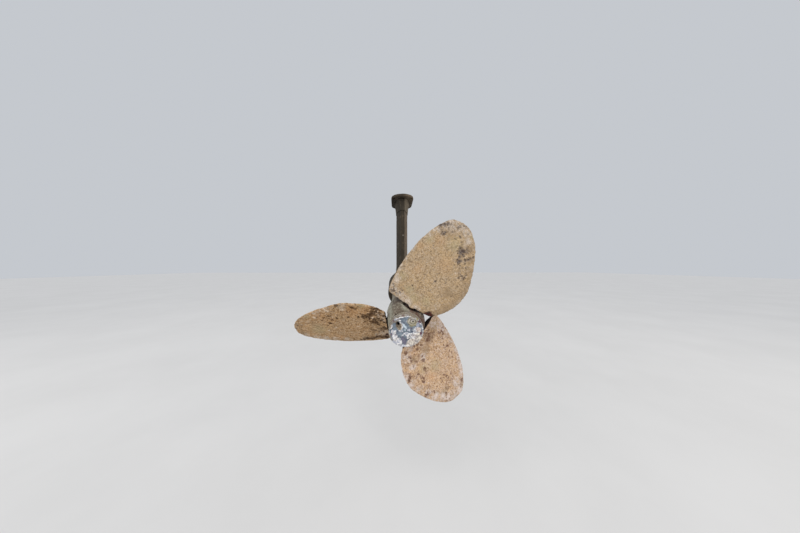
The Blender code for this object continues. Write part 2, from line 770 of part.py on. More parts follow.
clear_scene()
PARTS = collection("yacht_propeller")
CUTTERS = collection("cutters")
PAINT_DARK = material("antifouling_dark", (0.055, 0.055, 0.055), 0.75, 0.0)
PAINT_FAIRING = material("fairing_paint", (0.075, 0.075, 0.072), 0.8, 0.0)
BRASS = material("bearing_brass", (0.47, 0.36, 0.16), 0.45, 1.0)
RUBBER = material("bearing_rubber", (0.02, 0.02, 0.02), 0.85, 0.0)
STEEL = material("stainless_steel", (0.5, 0.49, 0.47), 0.35, 1.0)
BRONZE_HUB = material("hub_bronze", (0.29, 0.26, 0.22), 0.7, 0.3)
BRONZE_BLADE = material("blade_bronze", (0.47, 0.36, 0.22), 0.75, 0.2)
ZINC = material("anode_zinc", (0.46, 0.48, 0.52), 0.7, 0.3)

# Local X is to starboard, local Y up square to the shaft and local Z aft along the shaft.
SHAFT_TURN = (math.pi / 2 + SHAFT_SLOPE, 0.0, 0.0)
STILL_LINE = empty("bracket_shaft_line", HUB_CENTRE, SHAFT_TURN)
ROTOR = empty("rotor_axis", HUB_CENTRE, SHAFT_TURN)

build_palm()
build_leg(STILL_LINE)
build_fairing()
build_barrel(STILL_LINE)
build_bearing(STILL_LINE)
build_set_screws(STILL_LINE)
build_shaft(ROTOR)
build_shaft_nut(ROTOR)
build_hub(ROTOR)
build_hub_bolts(ROTOR)
build_anode(ROTOR)
build_anode_screws(ROTOR)
for blade_number, blade_angle in enumerate(BLADE_ANGLES, start=1):
    build_blade(blade_number, blade_angle, ROTOR)
bpy.context.view_layer.update()
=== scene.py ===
"""The looks of a yacht's stern gear: crusted bronze blades, an eroded zinc anode and a painted bracket.

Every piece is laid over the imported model, so sizes and places come from the frame. Lengths are in metres.
"""

import json
import math
from itertools import product

import bmesh
import bpy
import numpy as np
from mathutils import Matrix, Vector, kdtree


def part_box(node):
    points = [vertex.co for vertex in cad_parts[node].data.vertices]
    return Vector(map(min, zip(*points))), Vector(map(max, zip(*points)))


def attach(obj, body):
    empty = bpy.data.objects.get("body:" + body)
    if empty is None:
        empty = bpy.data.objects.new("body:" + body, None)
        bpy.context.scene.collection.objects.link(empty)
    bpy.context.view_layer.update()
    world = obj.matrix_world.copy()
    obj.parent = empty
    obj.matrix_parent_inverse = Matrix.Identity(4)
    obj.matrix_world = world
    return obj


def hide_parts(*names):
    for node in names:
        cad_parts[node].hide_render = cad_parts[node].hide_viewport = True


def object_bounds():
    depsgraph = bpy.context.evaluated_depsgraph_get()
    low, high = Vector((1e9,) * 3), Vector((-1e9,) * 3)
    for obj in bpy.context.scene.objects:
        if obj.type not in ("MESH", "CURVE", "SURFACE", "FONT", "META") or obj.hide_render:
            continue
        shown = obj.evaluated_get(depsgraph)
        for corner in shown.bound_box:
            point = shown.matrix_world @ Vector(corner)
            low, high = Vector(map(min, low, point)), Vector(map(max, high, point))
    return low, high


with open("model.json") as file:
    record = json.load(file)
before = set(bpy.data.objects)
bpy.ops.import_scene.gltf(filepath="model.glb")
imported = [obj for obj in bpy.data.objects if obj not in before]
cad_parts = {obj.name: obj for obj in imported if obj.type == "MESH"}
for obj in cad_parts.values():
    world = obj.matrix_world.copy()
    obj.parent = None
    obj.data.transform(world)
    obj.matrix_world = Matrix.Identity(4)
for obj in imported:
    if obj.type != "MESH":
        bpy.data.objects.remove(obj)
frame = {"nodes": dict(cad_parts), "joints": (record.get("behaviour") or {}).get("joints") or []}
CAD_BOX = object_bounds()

MM = 0.001

# Lines of the shaft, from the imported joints
JOINTS = {joint["name"]: joint for joint in frame["joints"]}
HUB = np.array(JOINTS["shaft_spin"]["pos_m"])
AFT = np.array(JOINTS["shaft_spin"]["axis"])
STARBOARD = np.array((1.0, 0.0, 0.0))
UP = np.cross(AFT, STARBOARD)
SHAFT_AXES = (STARBOARD, UP, AFT)
OUTWARD = [-np.array(JOINTS[f"blade_{number}_pitch"]["axis"]) for number in (1, 2, 3)]
BLADE_PITCH = math.radians(27.3)

# Camera: astern, a little above the hub, with a very wide lens
LENS = 9.0
SENSOR = 36.0
PROP_RADIUS = 0.240
EYE_FROM_HUB = (-0.072, -1.842, 0.503)  # in propeller radii
EYE_TURN = math.radians(0.5)  # round the hub, to port
EYE_YAW = math.radians(0.77)

# Studio
FLOOR_DROP = 0.30  # below the lowest blade tip
FLOOR_SIZE = 40.0
SURROUND_COLOUR = (0.90, 0.94, 1.0, 1.0)
SURROUND_STRENGTH = 0.62
SKY_FROM = (-0.25, -1.0, 0.75)
SKY_POWER = 2.0
SKY_WIDTH = math.radians(70.0)
SKY_COLOUR = (1.0, 0.96, 0.91)
# Each side light's place from the hub, width, power and colour
SIDE_LIGHTS = {
    "starboard_side": ((3.0, -2.0, 1.3), 2.0, 40.0, (1.0, 0.93, 0.83)),
    "port_side": ((-3.2, -1.6, 1.6), 2.0, 31.0, (1.0, 0.96, 0.90)),
}

# Fineness of the skins laid over the CAD nodes
BLADE_GRAIN = 1.0 * MM
ANODE_GRAIN = 0.55 * MM
HUB_GRAIN = 1.1 * MM
PAINT_GRAIN = 1.5 * MM
TOP_GRAIN = 1.2 * MM  # of the collar and the palm


# Noise that the mesh code uses


def lattice(cells, seed):
    """A repeatable number from 0 to 1 for each whole-numbered cell of space."""
    x, y, z = (cells[:, k].astype(np.int64) for k in range(3))
    mixed = (x * 73856093) ^ (y * 19349663) ^ (z * 83492791) ^ (seed * 40503 + 977)
    mixed = (mixed ^ (mixed >> 13)) * 1274126177
    return ((mixed ^ (mixed >> 16)) & 0xFFFF) / 65535.0


def swell(points, size, seed):
    """Smooth noise from -1 to 1, with lumps of about this size."""
    place = points / size
    base = np.floor(place)
    share = place - base
    share = share * share * (3.0 - 2.0 * share)
    total = np.zeros(len(points))
    for corner in product((0, 1), repeat=3):
        weight = np.prod(np.where(corner, share, 1.0 - share), axis=1)
        total += weight * lattice(base + corner, seed)
    return 2.0 * total - 1.0


def lumps(points, layers, seed):
    """The height of lumps laid over each other. A layer is its height and its size, in millimetres."""
    return sum(height * swell(points, size * MM, seed + k) for k, (height, size) in enumerate(layers))


def pebbles(points, size, seed):
    """Distance from the nearest pebble's middle, as a share of the size, and that pebble's own number."""
    place = points / size
    base = np.floor(place)
    nearest = np.full(len(points), 9.0)
    number = np.zeros(len(points))
    for corner in product((-1, 0, 1), repeat=3):
        cell = base + corner
        middle = cell + np.stack([lattice(cell, seed + k) for k in (1, 2, 3)], axis=1)
        away = np.linalg.norm(place - middle, axis=1)
        closer = away < nearest
        nearest = np.where(closer, away, nearest)
        number = np.where(closer, lattice(cell, seed + 4), number)
    return nearest, number


def ease(low, high, value):
    """0 below low, 1 above high and smooth between. With low above high it falls."""
    share = np.clip((value - low) / (high - low), 0.0, 1.0)
    return share * share * (3.0 - 2.0 * share)


# Meshes


def link(name, mesh):
    piece = bpy.data.objects.new(name, mesh)
    bpy.context.scene.collection.objects.link(piece)
    return piece


def evaluated(piece):
    bpy.context.view_layer.update()
    graph = bpy.context.evaluated_depsgraph_get()
    mesh = bpy.data.meshes.new_from_object(piece.evaluated_get(graph))
    piece.modifiers.clear()
    piece.data = mesh
    return piece


def skin_over(node, name, grain, smoothing):
    """A fine, even mesh over a CAD node, with its facets eased."""
    piece = link(name, frame["nodes"][node].data.copy())
    skin = piece.modifiers.new("skin", "REMESH")
    skin.mode = "VOXEL"
    skin.voxel_size = grain
    ease_facets = piece.modifiers.new("ease facets", "SMOOTH")
    ease_facets.factor = 0.5
    ease_facets.iterations = smoothing
    evaluated(piece)
    piece.data.materials.clear()
    piece.data.shade_smooth()
    return piece


def read_points(piece, what="co"):
    values = np.zeros(len(piece.data.vertices) * 3, np.float32)
    piece.data.vertices.foreach_get(what, values)
    return values.reshape(-1, 3).astype(float)


def write_points(piece, points):
    piece.data.vertices.foreach_set("co", points.astype(np.float32).ravel())
    piece.data.update()


def note(piece, name, values):
    """Keeps a value for each point, for the material to read."""
    kept = piece.data.attributes.new(name, "FLOAT", "POINT")
    kept.data.foreach_set("value", np.asarray(values, np.float32))


def note_all(piece, places, marks):
    """Keeps each point's place and every mark for the material."""
    kept = piece.data.attributes.new("place", "FLOAT_VECTOR", "POINT")
    kept.data.foreach_set("vector", np.asarray(places, np.float32).ravel())
    for name, values in marks.items():
        note(piece, name, values)


def local(points, origin, axes):
    return (points - origin) @ np.stack(axes, axis=1)


def ready(piece, finish, body, slot, *nodes):
    """Gives a finished piece its material and its body, and hides the CAD nodes that it stands for."""
    piece.data.materials.append(finish)
    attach(piece, body)
    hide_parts(*nodes)


# Shader parts


class Desk:
    """A short way to lay nodes on a tree. What a call makes comes back as a socket."""

    def __init__(self, tree):
        self.tree = tree

    def feed(self, socket, value):
        if isinstance(value, bpy.types.NodeSocket):
            self.tree.links.new(value, socket)
        elif isinstance(value, tuple) and socket.type == "RGBA":
            socket.default_value = (*value, 1.0)
        else:
            socket.default_value = value

    def add(self, kind, *values, out=0, settings=(), **wires):
        """A node with these settings. The values feed its sockets in their order, and the wires by name."""
        node = self.tree.nodes.new(kind)
        for name, value in dict(settings).items():
            setattr(node, name, value)
        for socket, value in zip(node.inputs, values):
            self.feed(socket, value)
        for name, value in wires.items():
            self.feed(node.inputs[name], value)
        return node.outputs[out]

    def math(self, operation, *values, clamp=False):
        settings = {"operation": operation, "use_clamp": clamp}
        return self.add("ShaderNodeMath", *values, settings=settings)

    def scaled(self, value, gain, base):
        """The value times the gain, plus the base."""
        return self.math("MULTIPLY_ADD", value, gain, base)

    def plus(self, value, other, share):
        """The value and this share of another, which a share below 0 takes away."""
        return self.math("ADD", value, self.math("MULTIPLY", other, share))

    def broken(self, mask, by, floor):
        """A mask worn through where the other is dark, down to this much of it."""
        return self.math("MULTIPLY", mask, self.math("ADD", by, floor), clamp=True)

    def blend(self, share, below, above):
        node = self.tree.nodes.new("ShaderNodeMix")
        node.data_type = "RGBA"
        self.feed(node.inputs[0], share)
        self.feed(node.inputs[6], below)
        self.feed(node.inputs[7], above)
        return node.outputs[2]

    def lay(self, colour, mask, above, amount=1.0):
        """Another colour over this one where the mask shows it, at this strength."""
        if amount != 1.0:
            mask = self.math("MULTIPLY", mask, amount)
        return self.blend(mask, colour, above)

    def band(self, value, low, high):
        """0 to 1 as the value goes from low to high, smoothly."""
        settings = {"interpolation_type": "SMOOTHSTEP"}
        return self.add("ShaderNodeMapRange", value, low, high, settings=settings)

    def point(self, name, out="Fac"):
        """A value that the mesh keeps under this name."""
        return self.add("ShaderNodeAttribute", out=out, settings={"attribute_name": name})

    def group(self, made, out, **wires):
        return self.add("ShaderNodeGroup", out=out, settings={"node_tree": made}, **wires)


def new_group(name, outputs, **inputs):
    """A node group's desk, its sockets and the scale that its size asks for.

    An input given as a number is a value, and any other is a vector.
    """
    tree = bpy.data.node_groups.new(name, "ShaderNodeTree")
    for label, value in inputs.items():
        kind = "NodeSocketFloat" if isinstance(value, float) else "NodeSocketVector"
        socket = tree.interface.new_socket(label, in_out="INPUT", socket_type=kind)
        if value is not None:
            socket.default_value = value
    for label in outputs:
        tree.interface.new_socket(label, in_out="OUTPUT", socket_type="NodeSocketFloat")
    given = tree.nodes.new("NodeGroupInput").outputs
    made = tree.nodes.new("NodeGroupOutput").inputs
    desk = Desk(tree)
    return desk, given, made, desk.math("DIVIDE", 1.0, given["Size"])


def blotches_group():
    """Cloudy patches that cover a set share of a surface."""
    desk, given, made, scale = new_group(
        "blotches", ("Mask",), Place=None, Size=0.02, Cover=0.5, Softness=0.1)
    cloud = desk.add("ShaderNodeTexNoise", Vector=given["Place"], Scale=scale, Detail=4.0, Roughness=0.62)
    middle = desk.scaled(given["Cover"], -0.5, 0.75)
    low = desk.math("SUBTRACT", middle, given["Softness"])
    high = desk.math("ADD", middle, given["Softness"])
    desk.feed(made["Mask"], desk.band(cloud, low, high))
    return desk.tree


def grains_group():
    """Packed grains: each has a tone of its own, a rounded height and a gap round it."""
    desk, given, made, scale = new_group("grains", ("Tone", "Height", "Gap"), Place=None, Size=0.002)
    jitter = desk.add("ShaderNodeTexNoise", out="Color", Vector=given["Place"], Scale=scale, Detail=1.0)
    spread = desk.math("MULTIPLY", given["Size"], 0.9)
    settings = {"operation": "MULTIPLY_ADD"}
    shifted = desk.add("ShaderNodeVectorMath", jitter, spread, given["Place"], settings=settings)
    cell = desk.add("ShaderNodeTexVoronoi", Vector=shifted, Scale=scale).node.outputs
    desk.feed(made["Tone"], desk.add("ShaderNodeSeparateColor", Color=cell["Color"]))
    desk.feed(made["Height"], desk.band(cell["Distance"], 0.75, 0.05))
    desk.feed(made["Gap"], desk.band(cell["Distance"], 0.42, 0.72))
    return desk.tree


def specks_group():
    """Scattered spots: a share of the cells holds one, each of its own width."""
    desk, given, made, scale = new_group(
        "specks", ("Mask",), Place=None, Size=0.006, Share=0.3, Width=0.25)
    wobble = desk.add("ShaderNodeTexNoise", Vector=given["Place"], Scale=desk.math("MULTIPLY", scale, 3.0))
    cell = desk.add("ShaderNodeTexVoronoi", Vector=given["Place"], Scale=scale).node.outputs
    chosen = desk.add("ShaderNodeSeparateColor", Color=cell["Color"])
    own_width = desk.math("MULTIPLY", chosen.node.outputs["Green"], given["Width"])
    away = desk.math("ADD", cell["Distance"], desk.scaled(wobble, 0.22, -0.11))
    near = desk.band(away, own_width, desk.math("MULTIPLY", own_width, 0.45))
    held = desk.math("LESS_THAN", chosen, given["Share"])
    desk.feed(made["Mask"], desk.math("MULTIPLY", near, held))
    return desk.tree


def streaks_group():
    """Long marks that run one way, such as brush lines or runs of water."""
    desk, given, made, scale = new_group(
        "streaks", ("Value",), Place=None, Along=(1.0, 1.0, 0.1), Size=0.004)
    settings = {"operation": "MULTIPLY"}
    drawn = desk.add("ShaderNodeVectorMath", given["Place"], given["Along"], settings=settings)
    value = desk.add("ShaderNodeTexNoise", Vector=drawn, Scale=scale, Detail=3.0, Roughness=0.6)
    desk.feed(made["Value"], value)
    return desk.tree


BLOTCHES = blotches_group()
GRAINS = grains_group()
SPECKS = specks_group()
STREAKS = streaks_group()


class Look(Desk):
    """A material's desk. Its place is a point's place in its own piece, or as the mesh keeps it."""

    def __init__(self, name, kept_place=False):
        self.material = bpy.data.materials.new(name)
        self.material.use_nodes = True
        super().__init__(self.material.node_tree)
        if kept_place:
            self.place = self.point("place", out="Vector")
        else:
            self.place = self.add("ShaderNodeTexCoord", out="Object")

    def blotches(self, size, cover, softness):
        return self.group(BLOTCHES, "Mask", Place=self.place, Size=size, Cover=cover, Softness=softness)

    def specks(self, size, share, width):
        return self.group(SPECKS, "Mask", Place=self.place, Size=size, Share=share, Width=width)

    def grains(self, size, out):
        return self.group(GRAINS, out, Place=self.place, Size=size)

    def streaks(self, along, size):
        return self.group(STREAKS, "Value", Place=self.place, Along=along, Size=size)

    def marks(self, colour, **above):
        """Lays the colour of each of the mesh's marks over this one, in this order."""
        for name, paint in above.items():
            colour = self.lay(colour, self.point(name), paint)
        return colour

    def surface(self, colour, roughness, metal=0.0, shine=0.5):
        """Wires up the material's own shader."""
        shader = self.tree.nodes["Principled BSDF"].inputs
        self.feed(shader["Base Color"], colour)
        self.feed(shader["Roughness"], roughness)
        self.feed(shader["Metallic"], metal)
        self.feed(shader["Specular IOR Level"], shine)

    def relief(self, height, strength, distance):
        """Fine relief, at most this many metres high."""
        bump = self.add("ShaderNodeBump", Strength=strength, Distance=distance, Height=height)
        self.feed(self.tree.nodes["Principled BSDF"].inputs["Normal"], bump)


# Finishes


# Colours of the blades' crust, and of the painted shade at their roots
REDDENED = (1.0, 0.86, 0.78)  # what a warm place does to the blade's own warm colour
GREEN_CRUST = (0.36, 0.305, 0.18)
# darker crust, and painted shade where a blade's edge curves away from the light
DIM_CRUST_AND_SHADE = (0.235, 0.165, 0.10)
GREY_CRUST = (0.36, 0.33, 0.31)
# of the dark red-brown patches by the blades' roots
DARK_RED_BROWN = ((0.016, 0.008, 0.007), (0.065, 0.018, 0.014))
DEEP_SHADE = (0.014, 0.007, 0.006)


def crusted_bronze(name, colours, grit, dark_share, pale_share):
    """Bronze under a granular crust. grit is its mottle's strength, the shares those of spots and flecks."""
    main, warm, cool, dark, worn, pale = colours
    look = Look(name, kept_place=True)
    broad = look.blotches(0.060, cover=0.5, softness=0.2)
    middling = look.blotches(0.022, cover=0.45, softness=0.14)
    colour = look.blend(broad, main, warm)
    colour = look.lay(colour, middling, cool, 0.45)
    coarse = look.add("ShaderNodeTexNoise", Vector=look.place, Scale=85.0, Detail=8.0, Roughness=0.7)
    mottle = look.add("ShaderNodeTexNoise", Vector=look.place, Scale=270.0, Detail=5.0, Roughness=0.75)
    for cloud, share in ((coarse, 0.32 * grit), (mottle, grit)):
        colour = look.lay(colour, look.band(cloud, 0.50, 0.34), dark, share)
        colour = look.lay(colour, look.band(cloud, 0.50, 0.68), pale, share)
    tone = look.grains(0.0028, "Tone")
    colour = look.lay(colour, look.band(tone, 0.65, 1.0), pale, 0.30)
    colour = look.lay(colour, look.band(tone, 0.35, 0.0), dark, 0.22)
    colour = look.lay(colour, look.grains(0.0021, "Gap"), dark, 0.25)
    reddened = tuple(a * b for a, b in zip(warm, REDDENED))
    # dim lays darker crust and painted shade
    colour = look.marks(colour, warm=reddened, green=GREEN_CRUST, dim=DIM_CRUST_AND_SHADE)
    specks = look.specks(0.0090, share=dark_share, width=0.34)
    colour = look.lay(colour, specks, dark, 0.75)
    flecks = look.specks(0.0077, share=pale_share, width=0.26)
    colour = look.lay(colour, flecks, pale, 0.75)
    flaked = look.blotches(0.0058, cover=0.5, softness=0.07)
    holes = look.specks(0.0048, share=0.45, width=0.40)
    greyish = tuple(0.5 * a + 0.5 * b for a, b in zip(cool, GREY_CRUST))
    frosted = look.blend(look.band(mottle, 0.40, 0.66), greyish, pale)
    frosted = look.lay(frosted, holes, dark, 0.7)
    colour = look.lay(colour, look.broken(look.point("frost"), flaked, 0.25), frosted)
    eaten = look.blotches(0.0085, cover=0.42, softness=0.05)
    gnawed = look.math("MULTIPLY", look.point("gnawed"), eaten)
    colour = look.lay(colour, gnawed, look.blend(look.band(mottle, 0.42, 0.66), dark, worn))
    flecked = look.math("MULTIPLY", look.point("pale"), look.band(mottle, 0.38, 0.52))
    colour = look.lay(colour, flecked, pale)
    hollow = look.blend(look.band(mottle, 0.44, 0.66), dark, worn)
    # shade is painted shade on the neck, the root's flat inner edge and the line over it
    colour = look.marks(colour, pit=hollow, rusty=look.blend(flaked, *DARK_RED_BROWN), shade=DEEP_SHADE)
    look.surface(colour, look.scaled(middling, 0.12, 0.78), shine=0.16)
    height = look.plus(look.grains(0.0021, "Height"), look.grains(0.0055, "Height"), 0.8)
    height = look.plus(height, specks, -1.2)
    look.relief(height, 0.9, 0.0006)
    return look.material


def eroded_zinc():
    """Zinc eaten by the sea: slate metal, chalk-white oxide, each stain that the face's plan names, and
    painted shade and a painted highlight.
    """
    look = Look("eroded_zinc", kept_place=True)
    broad = look.blotches(0.009, cover=0.5, softness=0.08)
    fine = look.blotches(0.0036, cover=0.5, softness=0.08)
    metal = look.blend(broad, (0.085, 0.104, 0.148), (0.145, 0.183, 0.228))
    metal = look.lay(metal, fine, (0.33, 0.38, 0.42), 0.28)
    metal = look.lay(metal, look.point("violet"), (0.17, 0.155, 0.215))
    whites = look.blend(broad, (0.41, 0.385, 0.39), (0.44, 0.46, 0.55))
    whites = look.lay(whites, fine, (0.76, 0.75, 0.74), 0.85)
    cream = look.blend(fine, (0.41, 0.335, 0.275), (0.72, 0.665, 0.58))
    whites = look.lay(whites, look.point("cream"), cream)
    worn_through = look.specks(0.0050, share=0.40, width=0.42)
    whites = look.lay(whites, worn_through, (0.15, 0.15, 0.16), 0.8)
    oxide = look.broken(look.point("oxide"), fine, 0.66)
    colour = look.blend(oxide, metal, whites)
    colour = look.marks(
        colour,
        ridge=(0.54, 0.63, 0.70),
        stain=look.blend(fine, (0.13, 0.12, 0.09), (0.21, 0.195, 0.14)),
        rings=(0.52, 0.48, 0.40),
        peach=(0.50, 0.36, 0.27),
        lilac=(0.36, 0.38, 0.47),
        olive=(0.26, 0.23, 0.105),
        khaki=look.blend(fine, (0.30, 0.245, 0.195), (0.50, 0.44, 0.36)),
    )
    side = look.broken(look.point("side"), broad, 0.7)
    colour = look.lay(colour, side, look.blend(fine, (0.19, 0.16, 0.125), (0.30, 0.265, 0.215)))
    # pit is painted shade, near black, in the open bore's screw hole and the ringed screw's socket, and dark
    # in the lip's nicks
    colour = look.marks(colour, plum=(0.12, 0.055, 0.075), pit=(0.012, 0.010, 0.012))
    look.surface(colour, look.scaled(oxide, 0.25, 0.58), metal=0.08, shine=0.3)
    height = look.plus(look.grains(0.0015, "Height"), fine, 1.5)
    height = look.plus(height, worn_through, -1.2)
    look.relief(height, 0.8, 0.0004)
    return look.material


def hub_deposit():
    """Cast bronze under grey-brown lime, greener in places and red-brown on the flank by the first blade,
    with a painted highlight along its port flank and painted shade inside and on the blades' seats.
    """
    look = Look("hub_deposit")
    broad = look.blotches(0.022, cover=0.5, softness=0.14)
    fine = look.blotches(0.006, cover=0.5, softness=0.12)
    chips = look.blotches(0.012, cover=0.25, softness=0.04)
    colour = look.blend(broad, (0.09, 0.07, 0.052), (0.132, 0.116, 0.085))
    colour = look.lay(colour, fine, (0.085, 0.06, 0.045), 0.6)
    tone = look.grains(0.0026, "Tone")
    colour = look.lay(colour, look.band(tone, 0.65, 1.0), (0.34, 0.305, 0.245), 0.5)
    colour = look.lay(colour, chips, (0.29, 0.263, 0.228), 0.6)
    spots = look.specks(0.009, share=0.35, width=0.34)
    colour = look.lay(colour, spots, (0.04, 0.022, 0.018), 0.8)
    # Red-brown on the flank by the first blade, and the same red-brown as painted shade on the blades'
    # seats, under their roots
    colour = look.lay(colour, look.point("rust"), (0.095, 0.045, 0.032), 0.8)
    # A lighter strip along the port flank, painted highlight where light from that side falls, and a pale
    # spot on top
    strip = look.broken(look.point("strip"), broad, 0.35)
    colour = look.lay(colour, strip, (0.285, 0.285, 0.233), 0.7)
    colour = look.lay(colour, look.point("streak"), (0.055, 0.038, 0.03), 0.85)
    # Painted shade, near black, inside the hub and faintly on the blades' seats
    colour = look.lay(colour, look.point("shade"), (0.02, 0.012, 0.010))
    look.surface(colour, 0.78, shine=0.3)
    look.relief(look.plus(look.grains(0.0018, "Height"), fine, 1.2), 0.7, 0.0004)
    return look.material


def antifouling(name, dark, worn):
    """Matt dark bottom paint with brush lines, thin places, scuffs and pale specks of old growth, and
    painted light on its starboard side.
    """
    look = Look(name)
    brush = look.streaks((1.0, 1.0, 0.06), 0.0035)
    clouds = look.blotches(0.05, cover=0.45, softness=0.18)
    thin = look.blotches(0.017, cover=0.25, softness=0.06)
    colour = look.blend(clouds, dark, tuple(1.5 * part for part in dark))
    colour = look.lay(colour, look.band(brush, 0.5, 0.8), worn, 0.5)
    colour = look.lay(colour, thin, worn, 0.5)
    # Painted light: the starboard side lighter, as if lit from that side, broken up like worn paint
    painted_side_light = look.blotches(0.014, cover=0.6, softness=0.2)
    painted_side_light = look.plus(look.scaled(painted_side_light, 0.35, 0.4), look.band(brush, 0.35, 0.6), 0.25)
    painted_side_light = look.math("MULTIPLY", look.point("painted_side_light"), painted_side_light, clamp=True)
    colour = look.lay(colour, painted_side_light, tuple(1.8 * part for part in worn))
    specks = look.specks(0.016, share=0.3, width=0.16)
    colour = look.lay(colour, specks, (0.30, 0.28, 0.24), 0.6)
    chips = look.specks(0.022, share=0.22, width=0.2)
    colour = look.lay(colour, chips, (0.18, 0.10, 0.06), 0.8)
    look.surface(colour, look.scaled(clouds, 0.14, 0.72), shine=0.12)
    height = look.plus(look.plus(brush, specks, 1.6), chips, -1.2)
    look.relief(height, 0.5, 0.0004)
    return look.material


def dulled_steel():
    """Stainless steel with turning lines and a brown bloom."""
    look = Look("dulled_steel")
    lines = look.streaks((1.0, 12.0, 3.0), 0.004)
    bloom = look.blotches(0.018, cover=0.4, softness=0.14)
    colour = look.blend(lines, (0.34, 0.34, 0.33), (0.52, 0.51, 0.49))
    colour = look.lay(colour, bloom, (0.22, 0.16, 0.11), 0.55)
    look.surface(colour, look.scaled(bloom, 0.3, 0.34), metal=0.9)
    look.relief(lines, 0.25, 0.0002)
    return look.material


def stained_screw():
    """A screw's head and washer under chalky yellow-grey stain."""
    look = Look("stained_screw")
    cover = look.blotches(0.004, cover=0.55, softness=0.15)
    colour = look.blend(cover, (0.27, 0.25, 0.20), (0.46, 0.42, 0.27))
    tone = look.grains(0.0011, "Tone")
    colour = look.lay(colour, look.band(tone, 0.6, 1.0), (0.6, 0.58, 0.48), 0.5)
    look.surface(colour, 0.62, metal=0.3)
    look.relief(look.grains(0.0011, "Height"), 0.5, 0.0002)
    return look.material


def brass_metal():
    look = Look("tarnished_brass")
    tarnish = look.blotches(0.012, cover=0.5, softness=0.14)
    lines = look.streaks((1.0, 0.1, 1.0), 0.0012)
    colour = look.blend(tarnish, (0.47, 0.36, 0.16), (0.20, 0.17, 0.09))
    look.surface(colour, look.scaled(tarnish, 0.25, 0.38), metal=0.85)
    look.relief(lines, 0.2, 0.0002)
    return look.material


def bush_painted_shade():
    """Painted shade, dark red-brown, in the narrow room round each blade's neck."""
    look = Look("bush_painted_shade")
    patches = look.blotches(0.006, cover=0.5, softness=0.12)
    colour = look.blend(patches, (0.022, 0.014, 0.012), (0.07, 0.035, 0.025))
    look.surface(colour, 0.7)
    look.relief(look.grains(0.0014, "Height"), 0.5, 0.0003)
    return look.material


def bearing_rubber():
    look = Look("fluted_rubber")
    dusty = look.blotches(0.009, cover=0.35, softness=0.14)
    colour = look.blend(dusty, (0.016, 0.016, 0.016), (0.055, 0.052, 0.048))
    look.surface(colour, 0.82)
    look.relief(look.grains(0.0009, "Height"), 0.3, 0.0001)
    return look.material


# Blades


# A blade's lengths are in millimetres, out along it from the shaft's line or across it from its own axis
ROOT_PLANE = 39.1  # where its flat inner edge turns over the hub
CRUST_FROM, CRUST_FULL = 36.5, 38.7  # the crust begins here, past the neck
ROOT_SWELLING = 0.45  # of its section, over the root
SWOLLEN_FROM = 38.5
SWELLING_FADES = (41.0, 60.0)  # from the first of these, and it is gone at the second
ROOT_MIDDLE, ROOT_REACH = 6.0, 50.0  # of the swelling, across the blade
NECK_FREED = 0.045  # how much slimmer the neck is than its bush
NECK_END = (37.4, 38.4)  # slim as far as the first of these, and full from the second
EDGE_FACING = 0.45  # what turns from the blade's faces by more than this belongs to its edge
RIM_REACH = 8.0  # how far in the rim is frosted and nibbled
NIBBLE_DEPTH = 0.7
CRUST_LUMPS = ((0.12, 2.4), (0.16, 5.0), (0.22, 16.0))  # heights and sizes
PLATE_HEIGHT = 0.25
PIT_SPACING, PIT_DEPTH = 6.5, 0.5
# The line over the root is painted shade.
BAND_REACH = 46.0  # of the dark line over the root
BAND_EDGE = (39.6, 40.4)  # the line fades between these
TINTS = (("warm", 0.3), ("green", 0.45), ("dim", 0.65))  # how strong each is


def blade_axes(number):
    """A blade's own axes: out along it, across it towards the leading edge, and square to its aft face."""
    out = OUTWARD[number - 1]
    round_about = np.cross(AFT, out)
    across = round_about * math.cos(BLADE_PITCH) - AFT * math.sin(BLADE_PITCH)
    square = round_about * math.sin(BLADE_PITCH) + AFT * math.cos(BLADE_PITCH)
    return out, across, square


def rim_nearness(places, facing, reach):
    """1 at a blade's rim, falling to 0 at this distance in from it."""
    edge = np.flatnonzero(facing < EDGE_FACING)
    tree = kdtree.KDTree(len(edge))
    for index in edge:
        tree.insert((places[index][0], places[index][1], 0.0), int(index))
    tree.balance()
    away = np.array([tree.find((x, y, 0.0))[2] for x, y, _ in places])
    return ease(reach, 0.0, away)


def wandering(places, seed):
    """Radius and chord in millimetres, shaken so that the edge of a mark wanders."""
    return [
        places[:, axis] / MM + 2.2 * swell(places, 5.0 * MM, own) + swell(places, 2.2 * MM, own + 1)
        for axis, own in ((0, seed), (1, seed + 2))
    ]


def marked(places, marks, seed, solid=0.6):
    """1 inside any of the marks, 0 outside. A mark is (radius, chord, size) in millimetres on the blade."""
    covered = np.zeros(len(places))
    radius, chord = wandering(places, seed)
    for mark_radius, mark_chord, size in marks:
        away = np.hypot(radius - mark_radius, chord - mark_chord)
        covered = np.maximum(covered, ease(1.15, solid, away / size))
    return covered


def lens(places, reach):
    """1 across the middle of a blade's root, falling to 0 at this distance from it."""
    return np.clip(1.0 - ((places[:, 1] / MM - ROOT_MIDDLE) / reach) ** 2, 0.0, 1.0)


def thick_root(places):
    """Swells a blade's section where it stands on its neck, and frees the neck in its bush."""
    radius = places[:, 0] / MM
    slim = 1.0 - NECK_FREED * ease(NECK_END[1], NECK_END[0], radius)
    fading = ease(SWELLING_FADES[1], SWELLING_FADES[0], radius)
    swollen = 1.0 + ROOT_SWELLING * fading * lens(places, ROOT_REACH) * (radius > SWOLLEN_FROM)
    return np.stack([places[:, 0], places[:, 1] * slim, places[:, 2] * swollen * slim], axis=1)


def root_shade(places, facing, past_neck, band, fine):
    """1 on the neck, the flat inner edge and the line over it: painted shade, near black, where the root
    faces the hub.
    """
    inner = ease(40.6 * MM, 39.6 * MM, places[:, 0]) * ease(0.5, 0.25, facing)
    over = places[:, 0] / MM - band * lens(places, BAND_REACH) + 0.8 * fine
    return np.maximum.reduce([1.0 - past_neck, inner, ease(BAND_EDGE[1], BAND_EDGE[0], over)])


